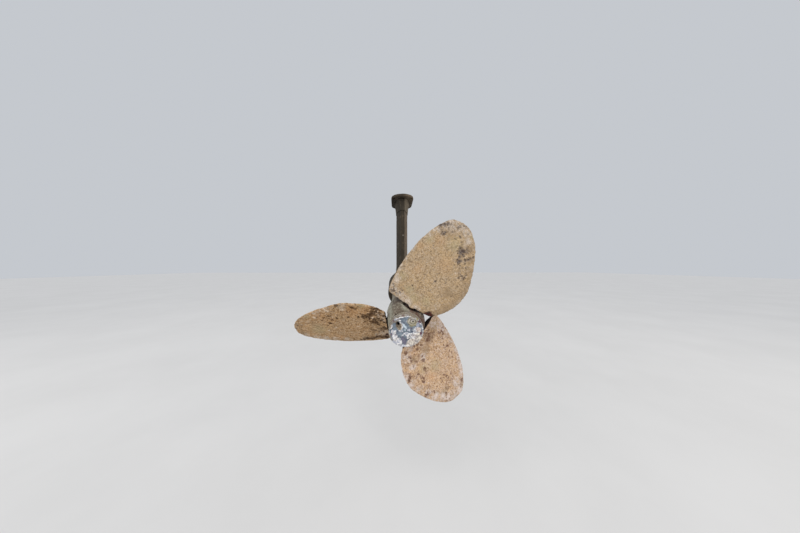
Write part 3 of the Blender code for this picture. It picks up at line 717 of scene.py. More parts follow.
def crust(points, places, square, past_neck, marks, seed):
    """The height of a blade's crust in millimetres, and all its marks for the material."""
    facing = np.abs(square)
    aft_side = ease(0.1, 0.5, square)
    rim = rim_nearness(places, facing, RIM_REACH * MM)
    fine = swell(points, CRUST_LUMPS[0][1] * MM, seed)
    plates = swell(points, 20.0 * MM, seed + 3) + 0.5 * swell(points, 6.0 * MM, seed + 4)
    height = lumps(points, CRUST_LUMPS, seed)
    height += PLATE_HEIGHT * ease(0.05, 0.2, plates) - 0.1
    away, own = pebbles(points, PIT_SPACING * MM, seed + 5)
    pits = ease(0.30, 0.12, away) * (own > marks["pitless"])
    nibble = ease(0.4, 1.0, rim) * ease(0.1, 0.7, swell(points, 8.0 * MM, seed + 8))
    height -= PIT_DEPTH * pits
    height -= NIBBLE_DEPTH * nibble
    dark = marked(places, marks["pits"], seed + 20, marks["pit_solid"]) * aft_side
    pale = marked(places, marks["pale"], seed + 30, 0.2) * aft_side
    frost = marked(places, marks["frost"], seed + 40, 0.3)
    frost = np.maximum(frost, 0.35 * rim * ease(-0.2, 0.6, plates))
    gnawed = marked(places, marks["gnawed"], seed + 70, 0.0) * past_neck
    bitten = gnawed * ease(0.0, 0.5, swell(points, 7.0 * MM, seed + 12))
    height -= marks["pit_depth"] * (dark * (0.6 + 0.4 * fine) + 0.5 * bitten)
    flaked = frost * ease(0.0, 0.3, swell(points, 4.0 * MM, seed + 10))
    height += (0.2 * pale + 0.25 * flaked) * aft_side
    kept = {
        "pit": np.clip(0.55 * pits + dark * (0.8 + 0.3 * fine), 0.0, 1.0) * past_neck,
        "pale": pale,
        "frost": frost * past_neck,
    }
    for tint, strength in TINTS:
        kept[tint] = strength * marked(places, marks[tint], seed + 50, 0.0) * aft_side
    kept["rusty"] = marked(places, marks["rusty"], seed + 60) * aft_side
    kept["gnawed"] = gnawed
    kept["shade"] = root_shade(places, facing, past_neck, marks["root_band"], fine)
    return height, kept


def crusted_blade(number, name, marks, seed, finish):
    """A blade with its crust: lumps, plates and pits, a nibbled rim, and the marks of this very blade."""
    node = f"blade_{number}"
    piece = skin_over(node, name, BLADE_GRAIN, 3)
    axes = blade_axes(number)
    places = thick_root(local(read_points(piece), HUB, axes))
    write_points(piece, HUB + places @ np.stack(axes))
    points = read_points(piece)
    normals = read_points(piece, "normal")
    past_neck = ease(CRUST_FROM * MM, CRUST_FULL * MM, places[:, 0])
    height, kept = crust(points, places, normals @ axes[2], past_neck, marks, seed)
    points = points + normals * (height * past_neck * MM)[:, None]
    low = np.maximum(ROOT_PLANE * MM - (points - HUB) @ axes[0], 0.0)
    low = low * (places[:, 0] > (ROOT_PLANE - 0.2) * MM)
    write_points(piece, np.clip(points + low[:, None] * axes[0], *CAD_BOX))
    note_all(piece, places, kept)
    ready(piece, finish, marks["body"], "blade_bronze", node)


UPPER_MARKS = {
    "body": "first_blade",
    "pitless": 0.9,
    "pit_depth": 0.9,
    "pit_solid": 0.4,
    "root_band": -1.5,
    "pits": (
        (217, 27, 3), (220, 22, 5), (223, 17, 5), (227, 11, 4), (205, 11, 5), (208, 7, 3), (189, -38, 8),
        (194, -32, 4), (183, -44, 4), (196, -45, 4), (182, -57, 5), (188, -61, 3), (171, -45, 4),
        (166, -42, 3), (164, -48, 2), (177, -40, 3), (178, -50, 2), (165, -59, 2), (152, -66, 2),
        (111, -19, 4), (206, -16, 2), (212, -23, 3), (205, -29, 2), (216, -5, 2), (61, 60, 3),
        (52, 38, 3), (48, 46, 3), (60, 36, 2), (141, -57, 2), (119, -38, 2), (92, -44, 2), (80, 22, 2),
    ),
    "pale": (
        (72, 57, 8), (86, 62, 5), (106, 63, 5), (131, 62, 4), (148, 59, 3), (231, 8, 5), (44, -8, 6),
        (46, 14, 7),
    ),
    "frost": (
        (232, -6, 22), (226, 16, 18), (210, 28, 13), (192, 36, 9), (226, -28, 14), (212, -40, 9),
        (152, 55, 7), (125, 62, 8), (100, 64, 9), (76, 58, 12), (52, 54, 16), (45, 34, 16), (44, 12, 13),
        (44, -12, 9),
    ),
    "warm": ((162, 44, 10), (118, 24, 16), (190, 8, 16), (150, -22, 22)),
    "green": (
        (184, 31, 12), (88, 50, 16), (222, -42, 8), (58, 6, 16), (70, 22, 16), (66, -22, 14),
        (196, -20, 20),
    ),
    # Darker patches; those along the lower edge are painted shade, where the blade curves away from the
    # light.
    "dim": (
        (58, -54, 14), (72, -64, 18), (92, -76, 20), (114, -82, 20), (138, -80, 16), (160, -70, 12),
        (182, -62, 12), (202, -52, 10), (104, -52, 18), (220, 2, 24),
    ),
    "rusty": ((41, -40, 12),),
    "gnawed": (
        (186, -44, 22), (170, -48, 18), (222, 12, 20), (50, 52, 16), (226, -20, 18), (150, -62, 14),
    ),
}
PORT_MARKS = {
    "body": "second_blade",
    "pitless": 0.84,
    "pit_depth": 1.2,
    "pit_solid": 0.8,
    "root_band": 0.0,
    "pits": (
        (79, -38, 9), (70, -43, 7), (66, -52, 5), (62, -13, 6), (65, -24, 5), (59, -4, 4), (44, 9, 6),
        (47, 3, 4), (54, -28, 4), (50, -44, 4), (60, -39, 4), (46, -54, 5), (62, -60, 4), (74, -30, 4),
        (84, -20, 3), (68, -16, 4), (58, -50, 4), (50, -18, 3), (42, -34, 4), (63, -46, 4), (56, -58, 3),
        (72, -20, 3), (53, 8, 3), (94, -39, 3), (52, 22, 3), (88, 4, 2), (76, 10, 2), (45, -14, 3),
        (158, -27, 4), (150, -36, 3), (140, -42, 3), (116, -42, 3), (166, -48, 2), (180, -50, 2),
        (130, -80, 4), (109, 54, 3), (100, 54, 5), (92, 52, 5), (83, 52, 6), (74, 50, 6), (65, 48, 7),
        (56, 50, 8), (47, 52, 8), (40, 50, 6), (94, 30, 2),
    ),
    "pale": (
        (182, -51, 5), (166, -70, 4), (153, -67, 5), (121, -68, 6), (168, 0, 4), (203, 29, 4),
        (188, 33, 4), (152, -9, 4), (103, -6, 4), (66, -33, 4), (56, -48, 5), (64, -70, 4), (130, 52, 3),
    ),
    "frost": (
        (42, -24, 12), (50, -36, 10), (52, 32, 14), (44, 24, 9), (66, 36, 9), (140, 44, 10),
        (165, 38, 10), (186, 32, 12), (204, 24, 12), (222, 10, 8), (120, -76, 10), (150, -72, 10),
        (176, -62, 9),
    ),
    "warm": ((152, -37, 12), (172, -57, 22), (75, -54, 22), (106, -58, 22), (150, 32, 12)),
    "green": ((198, -56, 9), (82, -74, 12), (188, -8, 26)),
    "dim": ((52, 12, 14), (70, 48, 13), (48, 48, 15), (98, 50, 10), (226, 2, 12), (230, -30, 10)),
    "rusty": ((43, 38, 7),),
    "gnawed": (
        (60, -30, 34), (48, 2, 22), (52, -54, 20), (74, -46, 26), (48, 50, 22), (70, 48, 20),
        (94, 50, 16), (104, -66, 22), (160, -50, 20), (64, 14, 20),
    ),
}
LOWER_MARKS = {
    "body": "third_blade",
    "pitless": 0.7,
    "pit_depth": 0.9,
    "pit_solid": 0.6,
    "root_band": 5.5,
    "pits": (
        (98, 43, 3), (121, 41, 4), (66, 20, 5), (70, 12, 5), (60, 14, 3), (82, 51, 4), (91, 50, 3),
        (52, -43, 5), (76, -46, 4), (66, -20, 4), (67, -6, 3), (115, -34, 4), (106, -77, 5),
        (103, -66, 3), (134, -54, 4), (128, -48, 3), (175, -51, 3), (181, -4, 3), (167, -8, 3),
        (164, -66, 4), (218, 19, 5), (80, -76, 4), (96, -25, 4), (88, -22, 3), (143, 42, 2),
        (152, 35, 2), (205, -30, 2), (212, -38, 2), (112, -52, 3),
    ),
    "pale": (
        (84, 58, 5), (188, 38, 9), (200, 30, 6), (205, -1, 4), (232, -2, 9), (216, -34, 7),
        (202, -43, 6), (186, -55, 7), (88, -54, 6), (115, -79, 6), (95, -81, 5), (166, 48, 7),
        (150, 52, 5), (45, 0, 8),
    ),
    "frost": (
        (176, 46, 12), (190, 40, 14), (206, 30, 14), (220, 18, 14), (230, 4, 16), (230, -14, 18),
        (220, -30, 18), (204, -42, 16), (186, -54, 14), (164, -62, 12), (140, -72, 12), (116, -78, 12),
        (94, -78, 14), (150, 54, 12), (124, 58, 12), (98, 60, 12), (72, 56, 18), (52, 48, 16),
        (86, -52, 12), (90, -20, 12), (62, -50, 14), (50, -30, 12), (208, 4, 14),
    ),
    "warm": ((93, -63, 10), (62, -28, 16), (74, 50, 12), (104, -40, 14), (140, -34, 20)),
    "green": ((110, -36, 18), (56, 50, 14), (226, 12, 12), (200, -36, 12), (130, -12, 22)),
    "dim": ((68, 18, 18), (84, -6, 16), (60, 42, 22), (78, -40, 12), (196, -24, 9), (182, -48, 8)),
    "rusty": (),
    "gnawed": (
        (62, 22, 24), (72, -42, 28), (102, -70, 20), (84, 52, 20), (212, -26, 24), (60, -18, 18),
        (120, -48, 20), (224, 14, 16), (160, -60, 18), (178, -6, 22),
    ),
}
# main, warm, cool, dark, worn through, pale. Partly each blade's own crust, partly painted light: the lower
# blade's set is lighter for the brighter light that falls on it.
UPPER_COLOURS = (
    (0.405, 0.285, 0.165), (0.45, 0.31, 0.165), (0.345, 0.26, 0.165),
    (0.055, 0.038, 0.032), (0.215, 0.18, 0.16), (0.50, 0.42, 0.345),
)
PORT_COLOURS = (
    (0.435, 0.268, 0.128), (0.485, 0.29, 0.133), (0.335, 0.224, 0.115),
    (0.030, 0.013, 0.005), (0.12, 0.058, 0.02), (0.60, 0.475, 0.36),
)
LOWER_COLOURS = (
    (0.545, 0.367, 0.218), (0.60, 0.40, 0.222), (0.455, 0.32, 0.22),
    (0.12, 0.062, 0.042), (0.20, 0.115, 0.075), (0.585, 0.50, 0.46),
)


# Anode


FACE = 44.0  # all the anode's lengths are in millimetres, this one from the plane of the blades
OXIDE_TOP = FACE - 0.4  # of what fills a screw's bore
STATION_CIRCLE = 20.5
STATION_ANGLES = [math.radians(51.2 + 90.0 * k) for k in range(4)]
BORE = 7.2
SCREW_HOLE = 2.8
BORE_FLOOR = 29.0
BORE_BACK = 24.3
SILT_TOP = 31.5
MOUTH_TURN = -72.0  # degrees
MOUTH_SHIFT = 1.3
RING_MIDDLE = (13.5, 23.0)
RING_STEP = 4.8
SWOLLEN = 1.04  # the oxide has swelled the anode past its cast radius
# Stretches of the rim, in degrees from starboard over the top: they rise, are full, fall and end here
DIRTY_RIM = (108.0, 120.0, 200.0, 222.0)
# the stretch with a painted highlight along the rim's edge
HIGHLIGHT_RIM = (98.0, 106.0, 130.0, 142.0)
OUTER_RIM = (55.0, 65.0, 200.0, 222.0)
LOW_RIM = (215.0, 235.0, 325.0, 350.0)
HIGHLIGHT_RIM_RADIUS = 33.4
DIRT_FROM, DIRT_SHIFT = 30.0, 3.2  # the rim's dirt starts here, and this much further out past its turn
DIRT_TURN = (138.0, 150.0)  # degrees
DISH_EDGE = (10.2, 11.6)  # the dish round the ringed screw is full to the first of these
DISH_LIMIT = (33.0, 34.5)  # and it fades between these, over the rim
LIP_RISE = (31.5, 33.0)  # the lip is full from the second of these
MOUTH_REACH = 16.0  # how far round it the bore's mouth has wasted
# What lies on the face, in ovals: the middle, half of each width, the turn in degrees and the strength
LOBES = (
    ((-18.5, -19.0), (16.0, 7.2), -60.0, 1.0),
    ((-25.0, 0.0), (5.0, 4.5), -20.0, 1.0),
    ((-30.0, 11.5), (2.2, 5.2), 5.0, 0.9),
    ((-14.0, 25.0), (3.6, 1.8), -25.0, 0.8),
    ((-10.0, 3.0), (4.0, 2.2), -20.0, 0.7),
    ((3.5, -5.5), (8.0, 4.0), -5.0, 0.85),
    ((-6.0, -8.0), (6.5, 1.6), 48.0, 0.7),
    ((13.0, -10.0), (9.0, 8.0), 10.0, 0.9),
    ((12.5, -23.0), (12.0, 8.0), 20.0, 1.0),
    ((22.0, -12.0), (8.0, 10.0), -25.0, 1.0),
    ((22.0, 4.0), (8.0, 6.5), 0.0, 0.9),
    ((5.5, 4.0), (3.0, 2.2), 20.0, 0.8),
    ((7.5, 31.5), (1.4, 3.6), 0.0, 0.8),
    ((-11.5, 32.0), (2.8, 1.6), 20.0, 0.6),
    ((2.0, 24.5), (1.8, 2.6), 0.0, 0.7),
    ((4.0, -12.5), (4.5, 2.6), 40.0, 0.8),
)
RIDGE = (
    ((-4.0, 13.5), (6.5, 1.9), -55.0, 1.0),
    ((0.0, 8.0), (3.4, 1.7), -50.0, 0.8),
    ((-2.0, 7.0), (1.5, 5.0), 0.0, 0.45),
)
MOUTH = ((-14.2, 13.0), (9.8, 5.4), MOUTH_TURN, 1.0)
BRIM = ((-13.8, 12.6), (12.0, 7.4), MOUTH_TURN, 1.0)
WEDGE = (((-4.5, -20.0), (10.5, 4.2), -68.0, 1.0), ((-3.5, -27.0), (5.0, 3.0), -80.0, 1.0))
STAINS = {
    "cream": (((12.0, -24.0), (14.0, 9.0), 20.0, 0.8), ((27.0, -12.0), (8.0, 12.0), -25.0, 0.8)),
    "violet": (((-4.5, -20.0), (10.0, 5.0), -68.0, 0.8), ((-12.0, 30.0), (7.0, 3.0), 30.0, 0.6)),
    "peach": (((25.0, 5.0), (5.5, 5.0), 0.0, 0.5), ((16.0, -9.0), (5.0, 4.0), 0.0, 0.25)),
    "lilac": (
        ((23.0, 15.5), (4.2, 5.0), 0.0, 0.85),
        ((6.0, 4.0), (3.4, 2.2), 20.0, 0.6),
        ((12.0, 26.0), (3.0, 2.0), 30.0, 0.3),
    ),
    "olive": (
        ((22.0, 29.5), (5.5, 2.2), -55.0, 0.9),
        ((12.0, 14.5), (7.0, 2.2), 10.0, 0.45),
        ((18.5, 20.0), (2.0, 3.0), 0.0, 0.5),
    ),
    "plum": (
        ((-25.5, 24.0), (3.2, 1.8), -20.0, 0.8), ((27.0, 22.5), (2.6, 2.0), 0.0, 1.0),
        ((29.5, -3.0), (4.0, 1.8), 52.0, 1.0), ((-29.5, -5.0), (2.0, 2.2), 0.0, 0.7),
        ((-22.0, -6.5), (2.6, 1.4), -30.0, 0.3), ((-7.5, 35.0), (2.6, 1.5), 0.0, 0.5),
        ((5.0, -15.5), (2.4, 1.4), 40.0, 0.5), ((8.0, -21.5), (1.6, 1.5), 0.0, 0.35),
        ((17.0, -19.0), (2.2, 1.2), 60.0, 0.35), ((10.5, 8.0), (2.4, 1.6), 0.0, 0.5),
        ((9.0, 27.5), (1.6, 3.2), 50.0, 0.55), ((20.5, 22.0), (1.4, 2.2), 0.0, 0.5),
    ),
}


def station(number):
    angle = STATION_ANGLES[number - 1]
    return STATION_CIRCLE * math.cos(angle), STATION_CIRCLE * math.sin(angle)


def patch(u, v, middle, size, turn, ragged):
    """1 inside an oval on the anode's face, 0 outside. turn is in degrees."""
    c, s = math.cos(math.radians(turn)), math.sin(math.radians(turn))
    du, dv = u - middle[0], v - middle[1]
    along, over = c * du + s * dv, c * dv - s * du
    return ease(1.15, 0.8, np.hypot(along / size[0], over / size[1]) + ragged)


def patches(u, v, ragged, ovals):
    return np.maximum.reduce([
        strength * patch(u, v, middle, size, turn, ragged) for middle, size, turn, strength in ovals])


def stretch(angle, start, full, fall, end):
    """1 along a stretch of the rim, 0 elsewhere."""
    return ease(start, full, angle) * ease(end, fall, angle)


def ringed_dish(u, v, across, small, tiny):
    """The dish round the screw that shows: how far from it, how much of a dish, and on which ring."""
    du, dv = u - RING_MIDDLE[0], v - RING_MIDDLE[1]
    from_screw = np.hypot(du, dv) + 0.5 * small + 0.3 * tiny
    dish = ease(DISH_EDGE[1], DISH_EDGE[0], from_screw) * ease(DISH_LIMIT[1], DISH_LIMIT[0], across)
    ring = 0.5 + 0.5 * np.cos((from_screw / RING_STEP - 0.69) * math.tau)
    return from_screw, dish, ring, ring * (0.8 + 0.2 * np.cos(np.arctan2(dv, du) - 2.2))


def rim_marks(u, v, across, small):
    """Where the rim is dirty, where it has a painted highlight along its edge, where it is dirty down its
    outside and where it is chalky low down.
    """
    angle = np.degrees(np.arctan2(v, u)) % 360.0
    clean = DIRT_FROM + DIRT_SHIFT * ease(*DIRT_TURN, angle)
    dirty = stretch(angle, *DIRTY_RIM) * ease(-1.4, 1.0, across + 1.6 * small - clean)
    off_edge = np.abs(across - HIGHLIGHT_RIM_RADIUS + 0.6 * small)
    light = stretch(angle, *HIGHLIGHT_RIM) * ease(2.2, 1.0, off_edge)
    outside = stretch(angle, *OUTER_RIM) * ease(34.2, 35.0, across)
    low = stretch(angle, *LOW_RIM) * ease(28.5, 31.0, across + 1.2 * small)
    return dirty, light, outside, low


def face_plan(u, v):
    """What has become of each place on the anode's face: how deep it is eaten, and what lies on it."""
    flat = np.stack([u, v, np.zeros(len(u))], axis=1)
    broad, small, tiny = swell(flat, 8.0, 11), swell(flat, 3.2, 12), swell(flat, 1.5, 15)
    ragged = 0.17 * small + 0.09 * tiny
    u = u + 1.2 * swell(flat, 4.0, 17)
    v = v + 1.2 * swell(flat, 4.0, 18)
    across = np.hypot(u, v)
    mouth = patches(u, v, 0.4 * ragged, [MOUTH])
    brim = patches(u, v, 0.5 * ragged, [BRIM]) * (1.0 - mouth)
    brim = brim * ease(-21.5, -17.5, u + 0.35 * (v - 12.6))
    lobes = np.maximum(patches(u, v, ragged, LOBES), 0.6 * brim)
    ridge = patches(u, v, 0.7 * ragged, RIDGE)
    wedge = patches(u, v, ragged, WEDGE)
    from_screw, dish, ring, ring_seen = ringed_dish(u, v, across, small, tiny)
    lip = ease(*LIP_RISE, across + 0.8 * small)
    nick = lip * ease(0.25, 0.7, swell(flat, 4.5, 13))
    depth = 1.9 + 0.7 * broad + 0.35 * small
    depth = depth * (1.0 - lobes) + lobes * (0.55 + 0.35 * np.abs(small) + 0.15 * tiny)
    depth = depth * (1.0 - ridge) + ridge * (0.4 + 0.2 * small)
    depth = np.maximum(depth, wedge * (2.9 + 0.4 * small))
    depth = depth * (1.0 - dish) + dish * (2.2 - 0.7 * ring + 0.15 * tiny)
    depth = depth * (1.0 - lip) + lip * (0.3 + 1.1 * nick + 0.2 * tiny)
    dirty, light, outside, low = rim_marks(u, v, across, small)
    oxide = lobes * (1.0 - wedge) * (1.0 - dish) + 0.5 * lip * (1.0 - dirty)
    # painted shade in the ringed screw's socket, and dark specks in the lip's nicks
    hole = dish * ease(1.5, 0.7, from_screw) + 0.6 * nick * ease(0.2, 0.6, tiny)
    plan = {name: patches(u, v, ragged, ovals) for name, ovals in STAINS.items()}
    plan.update({
        # The oxide's white also carries the painted highlight along the rim
        "oxide": np.clip(oxide + 0.6 * light + 0.7 * low, 0.0, 1.0),
        "ridge": ridge * (1.0 - dish) * (1.0 - mouth),
        "stain": dish,
        "rings": dish * ring_seen,
        "khaki": mouth,
        "side": np.maximum(dirty * (1.0 - light), outside),
        "pit": np.clip(hole, 0.0, 1.0),
    })
    return depth, plan


def fill_bore(u, v, w, number):
    """Oxide fills a screw's bore: its floor and sides rise to the face, and the screw's own hole closes."""
    middle = station(number)
    du, dv = u - middle[0], v - middle[1]
    away = np.maximum(np.hypot(du, dv), 0.001)
    in_bore = (away < BORE + 0.9) & (w > BORE_FLOOR - 1.6)
    in_hole = (away < SCREW_HOLE + 0.9) & (w > FACE - 19.0)
    within = in_bore | in_hole
    spread = np.clip((away - SCREW_HOLE - 0.4) / (BORE - SCREW_HOLE - 0.4), 0.0, 1.0) * BORE
    spread = np.where(away > BORE, away, spread)
    u = np.where(within, middle[0] + du / away * spread, u)
    v = np.where(within, middle[1] + dv / away * spread, v)
    return u, v, np.where(within, OXIDE_TOP, w)


def wasted_bore(u, v, w):
    """The empty bore: silt on its floor round the screw's own hole, its mouth wasted to a slanting oval."""
    middle = station(2)
    du, dv = u - middle[0], v - middle[1]
    away = np.hypot(du, dv)
    in_hole = (away < SCREW_HOLE + 0.8) & (w < BORE_FLOOR + 0.4)
    wall = (away < BORE + 0.5) & (w < FACE - 1.0)
    stretched = BORE_BACK + (w - BORE_BACK) * (SILT_TOP - BORE_BACK) / (BORE_FLOOR - BORE_BACK)
    raised = np.where((away < BORE + 0.4) & (w > BORE_FLOOR - 1.0) & (w < SILT_TOP), SILT_TOP, w)
    w = np.where(in_hole, stretched, raised)
    c, s = math.cos(math.radians(MOUTH_TURN)), math.sin(math.radians(MOUTH_TURN))
    along, over = c * du + s * dv, c * dv - s * du
    near = ease(MOUTH_REACH, BORE, away) * ease(SCREW_HOLE, 5.5, away) * ease(26.0, 29.0, w)
    along = along * (1.0 + (0.02 + 0.30 * ease(32.0, 41.0, w)) * near)
    over = over * (1.0 - 0.34 * near)
    shift = MOUTH_SHIFT * ease(MOUTH_REACH, BORE, away)
    return middle[0] + shift + c * along - s * over, middle[1] + s * along + c * over, w, wall, in_hole


def worn_anode(finish):
    """The anode, eaten away inside its rim, with one open hole, a ringed screw and lobes of white oxide."""
    piece = skin_over("anode", "eroded_anode", ANODE_GRAIN, 2)
    u, v, w = (local(read_points(piece), HUB, SHAFT_AXES)[:, k] / MM for k in range(3))
    u, v, w, wall, in_hole = wasted_bore(u, v, w)
    for number in (1, 3, 4):
        u, v, w = fill_bore(u, v, w, number)
    u, v = SWOLLEN * u, SWOLLEN * v
    depth, plan = face_plan(u, v)
    across = np.hypot(u, v)
    top = ease(30.0, 40.0, w) * ~(wall & (w < 40.0))
    w = w - np.clip(depth, 0.0, 9.0) * top
    points = HUB + (np.stack([u, v, w], axis=1) * MM) @ np.stack(SHAFT_AXES)
    write_points(piece, points)
    normals = read_points(piece, "normal")
    flank = ease(32.0, 35.0, across) * ease(41.0, 38.0, w)
    chalk = 0.14 * swell(points, 1.6 * MM, 14) + flank * 0.3 * swell(points, 6.0 * MM, 16)
    write_points(piece, points + normals * (chalk * MM)[:, None])
    on_top = ease(34.0, 37.5, w) * ~wall
    beside = {
        "khaki": wall,
        # painted shade in the open bore's screw hole
        "pit": in_hole,
        "side": ease(38.0, 35.0, w) * ease(32.0, 34.0, across),
    }
    marks = {name: np.maximum(mark * on_top, beside.get(name, 0.0)) for name, mark in plan.items()}
    note_all(piece, points, marks)
    ready(piece, finish, "rotor", "zinc", "anode")


# Hub


# The hub's front half flares to a rounded triangle with its flats towards the blades. In millimetres.
FLAT_REACH = 38.5
CORNER_REACH = 43.5
BODY_REACH = 34.2
SEAT_RADIUS = 17.2  # of the round seat that each blade's root stands on
FLAT_LIMIT = 38.75  # no lump stands higher than this under a blade's root
FIRST_BLADE_ANGLE = math.radians(66.2)
FLARE_START, FLARE_RISE = -104.0, 88.0  # where it starts, from the blades, and how soon it is full
AFT_TAPER = 0.00115  # it dies away aft with the square of the distance
RED_BROWN_SIDE = np.array((0.75, 0.66, 0.0))  # the flank by the first blade
# How strongly the blades' seats get painted shade, in red-brown and in near black
SEAT_RED_BROWN_SHADE, SEAT_SHADE = 0.7, 0.15
HUB_LUMPS = ((0.10, 2.6), (0.16, 7.0))  # heights and sizes
LIME_SPACING, LIME_HEIGHT = 8.0, 0.22


def seat_share(places):
    """1 on the round seats of the blades, 0 elsewhere."""
    seats = np.zeros(len(places))
    for out in OUTWARD:
        out = np.array((out @ STARBOARD, out @ UP, 0.0))
        along = places @ out
        away = np.sqrt(np.maximum(0.0, np.sum(places**2, axis=1) - along**2)) / MM
        seats = np.maximum(seats, ease(SEAT_RADIUS + 0.8, SEAT_RADIUS - 0.8, away) * (along > 0.0))
    return seats


def flare(places):
    """How far the flared half reaches past the plain cylinder, in millimetres."""
    angle = np.arctan2(places[:, 1], places[:, 0]) - FIRST_BLADE_ANGLE
    third = math.tau / 3
    from_blade = np.abs((angle + third / 2) % third - third / 2)
    reach = np.minimum(CORNER_REACH, FLAT_REACH / np.cos(from_blade))
    along = places[:, 2] / MM
    ahead = np.clip((along - FLARE_START) / FLARE_RISE, 0.0, 1.0)
    return (reach - BODY_REACH) * np.where(along < 0.0, ahead, 1.0 - AFT_TAPER * along**2)


def under_blades(points):
    """How far each point stands into the room where the blades' flat inner edges turn."""
    over = np.zeros_like(points)
    for out in OUTWARD:
        over += np.maximum((points - HUB) @ out - FLAT_LIMIT * MM, 0.0)[:, None] * out
    return over


def limed_hub(node, name, seed, finish):
    """A half of the hub: it flares towards the blades' seats, with the lumps of its casting and of lime."""
    piece = skin_over(node, name, HUB_GRAIN, 2)
    points = read_points(piece)
    normals = read_points(piece, "normal")
    places = local(points, HUB, SHAFT_AXES)
    across = np.hypot(places[:, 0], places[:, 1])
    along = places[:, 2] / MM
    outer = ease(28.0 * MM, 30.0 * MM, across)
    seat = seat_share(places)
    out = flare(places) * (1.0 - seat)
    outwards = (places * (1.0, 1.0, 0.0)) / across[:, None] @ np.stack(SHAFT_AXES)
    points = points + outwards * (out * outer * MM)[:, None]
    height = lumps(points, HUB_LUMPS, seed) - 0.1
    away, own = pebbles(points, LIME_SPACING * MM, seed + 2)
    height += LIME_HEIGHT * ease(0.3, 0.12, away) * (own > 0.75)
    points = points + normals * (height * outer * MM)[:, None]
    write_points(piece, points - under_blades(points) * (1.0 - seat)[:, None])
    # Painted shade inside the hub, and faintly on the blades' seats
    note(piece, "shade", np.maximum(1.0 - outer, SEAT_SHADE * seat))
    flank = ease(0.55, 0.9, (places @ RED_BROWN_SIDE) / across) * ease(-30.0, 0.0, along)
    angle = np.degrees(np.arctan2(places[:, 1], places[:, 0])) + 4.0 * swell(points, 7.0 * MM, seed + 6)
    # A painted highlight along the port flank, and a pale spot on top just aft of the blades
    strip = ease(126.0, 140.0, angle) * ease(-98.0, -80.0, along)
    note(piece, "strip", np.maximum(strip, ease(18.0, 6.0, np.hypot(angle - 90.0, along - 10.0))))
    off_streak = np.hypot((angle - 112.0 + 0.31 * (along + 30.0)) / 7.0, (along + 32.0) / 24.0)
    note(piece, "streak", ease(1.2, 0.5, off_streak))
    flank = flank * ease(-0.5, 0.3, swell(points, 6.0 * MM, seed + 5))
    # Red-brown on the flank by the first blade, and red-brown painted shade on the blades' seats
    note(piece, "rust", np.maximum(SEAT_RED_BROWN_SHADE * seat, flank))
    ready(piece, finish, "rotor", "hub_bronze", node)


# Bracket


# Millimetres
RUNS = (0.10, 4.0)  # height and width of the runs in the paint
COATS = (0.18, 14.0)  # height and size of its thick and thin places
PAINT_SUNK = 0.3  # the whole coat is let into the casting by this much
SCAR_SPACING, SCAR_HEIGHT, CHIP_DEPTH = 17.0, 0.3, 0.25


def painted_casting(node, name, grain, seed, finish, slot, painted_side_light, keep_out=None):
    """A bracket piece under many coats of paint, with runs, chips and a few shell scars.

    The argument after the slot says where the starboard side is painted lighter, standing for light from
    that side: the two distances to starboard between which that begins, and how much the line wanders.
    """
    piece = skin_over(node, name, grain, 4)
    points = read_points(piece)
    normals = read_points(piece, "normal")
    drawn = points * np.array((1.0, 1.0, 0.25))
    height = lumps(drawn, [RUNS], seed) + lumps(points, [COATS], seed + 1) - PAINT_SUNK
    away, own = pebbles(points, SCAR_SPACING * MM, seed + 2)
    height += SCAR_HEIGHT * ((own > 0.78) * ease(0.16, 0.12, away) * ease(0.05, 0.1, away))
    height -= CHIP_DEPTH * ((own < 0.2) * ease(0.16, 0.12, away))
    loose = np.ones(len(points)) if keep_out is None else keep_out(points)
    write_points(piece, np.clip(points + normals * (height * loose * MM)[:, None], *CAD_BOX))
    # How far to starboard, for the painted light on that side
    starboard = points[:, 0] / MM + painted_side_light[2] * swell(points, 24.0 * MM, seed + 6)
    starboard += 0.5 * swell(points, 9.0 * MM, seed + 7)
    note(piece, "painted_side_light", ease(painted_side_light[0], painted_side_light[1], starboard))
    ready(piece, finish, "bracket", slot, node)


def below_top_face(points):
    """Keeps the top face, which is bolted up, flat."""
    return ease(-0.2 * MM, -1.6 * MM, points[:, 2])


def outside_of_bore(points):
    """Leaves the barrel's bore as it was machined."""
    places = local(points, HUB, SHAFT_AXES)
    return ease(29.0 * MM, 31.0 * MM, np.hypot(places[:, 0], places[:, 1]))


# Scene


def turned_about_z(vector, angle):
    return Matrix.Rotation(angle, 3, "Z") @ Vector(vector)


def astern_camera():
    data = bpy.data.cameras.new("astern")
    data.lens = LENS
    data.sensor_width = SENSOR
    data.sensor_fit = "HORIZONTAL"
    data.clip_start = 0.01
    camera = link("astern", data)
    camera.location = Vector(HUB) + turned_about_z(EYE_FROM_HUB, -EYE_TURN) * PROP_RADIUS
    camera.rotation_euler = (math.pi / 2, 0.0, -EYE_YAW - EYE_TURN)
    bpy.context.scene.camera = camera


def soft_light(name, offset, size, power, colour):
    data = bpy.data.lights.new(name, "AREA")
    data.shape = "DISK"
    data.size = size
    data.energy = power
    data.color = colour
    light = link(name, data)
    light.location = Vector(HUB) + Vector(offset)
    light.rotation_euler = (Vector(HUB) - light.location).to_track_quat("-Z", "Y").to_euler()


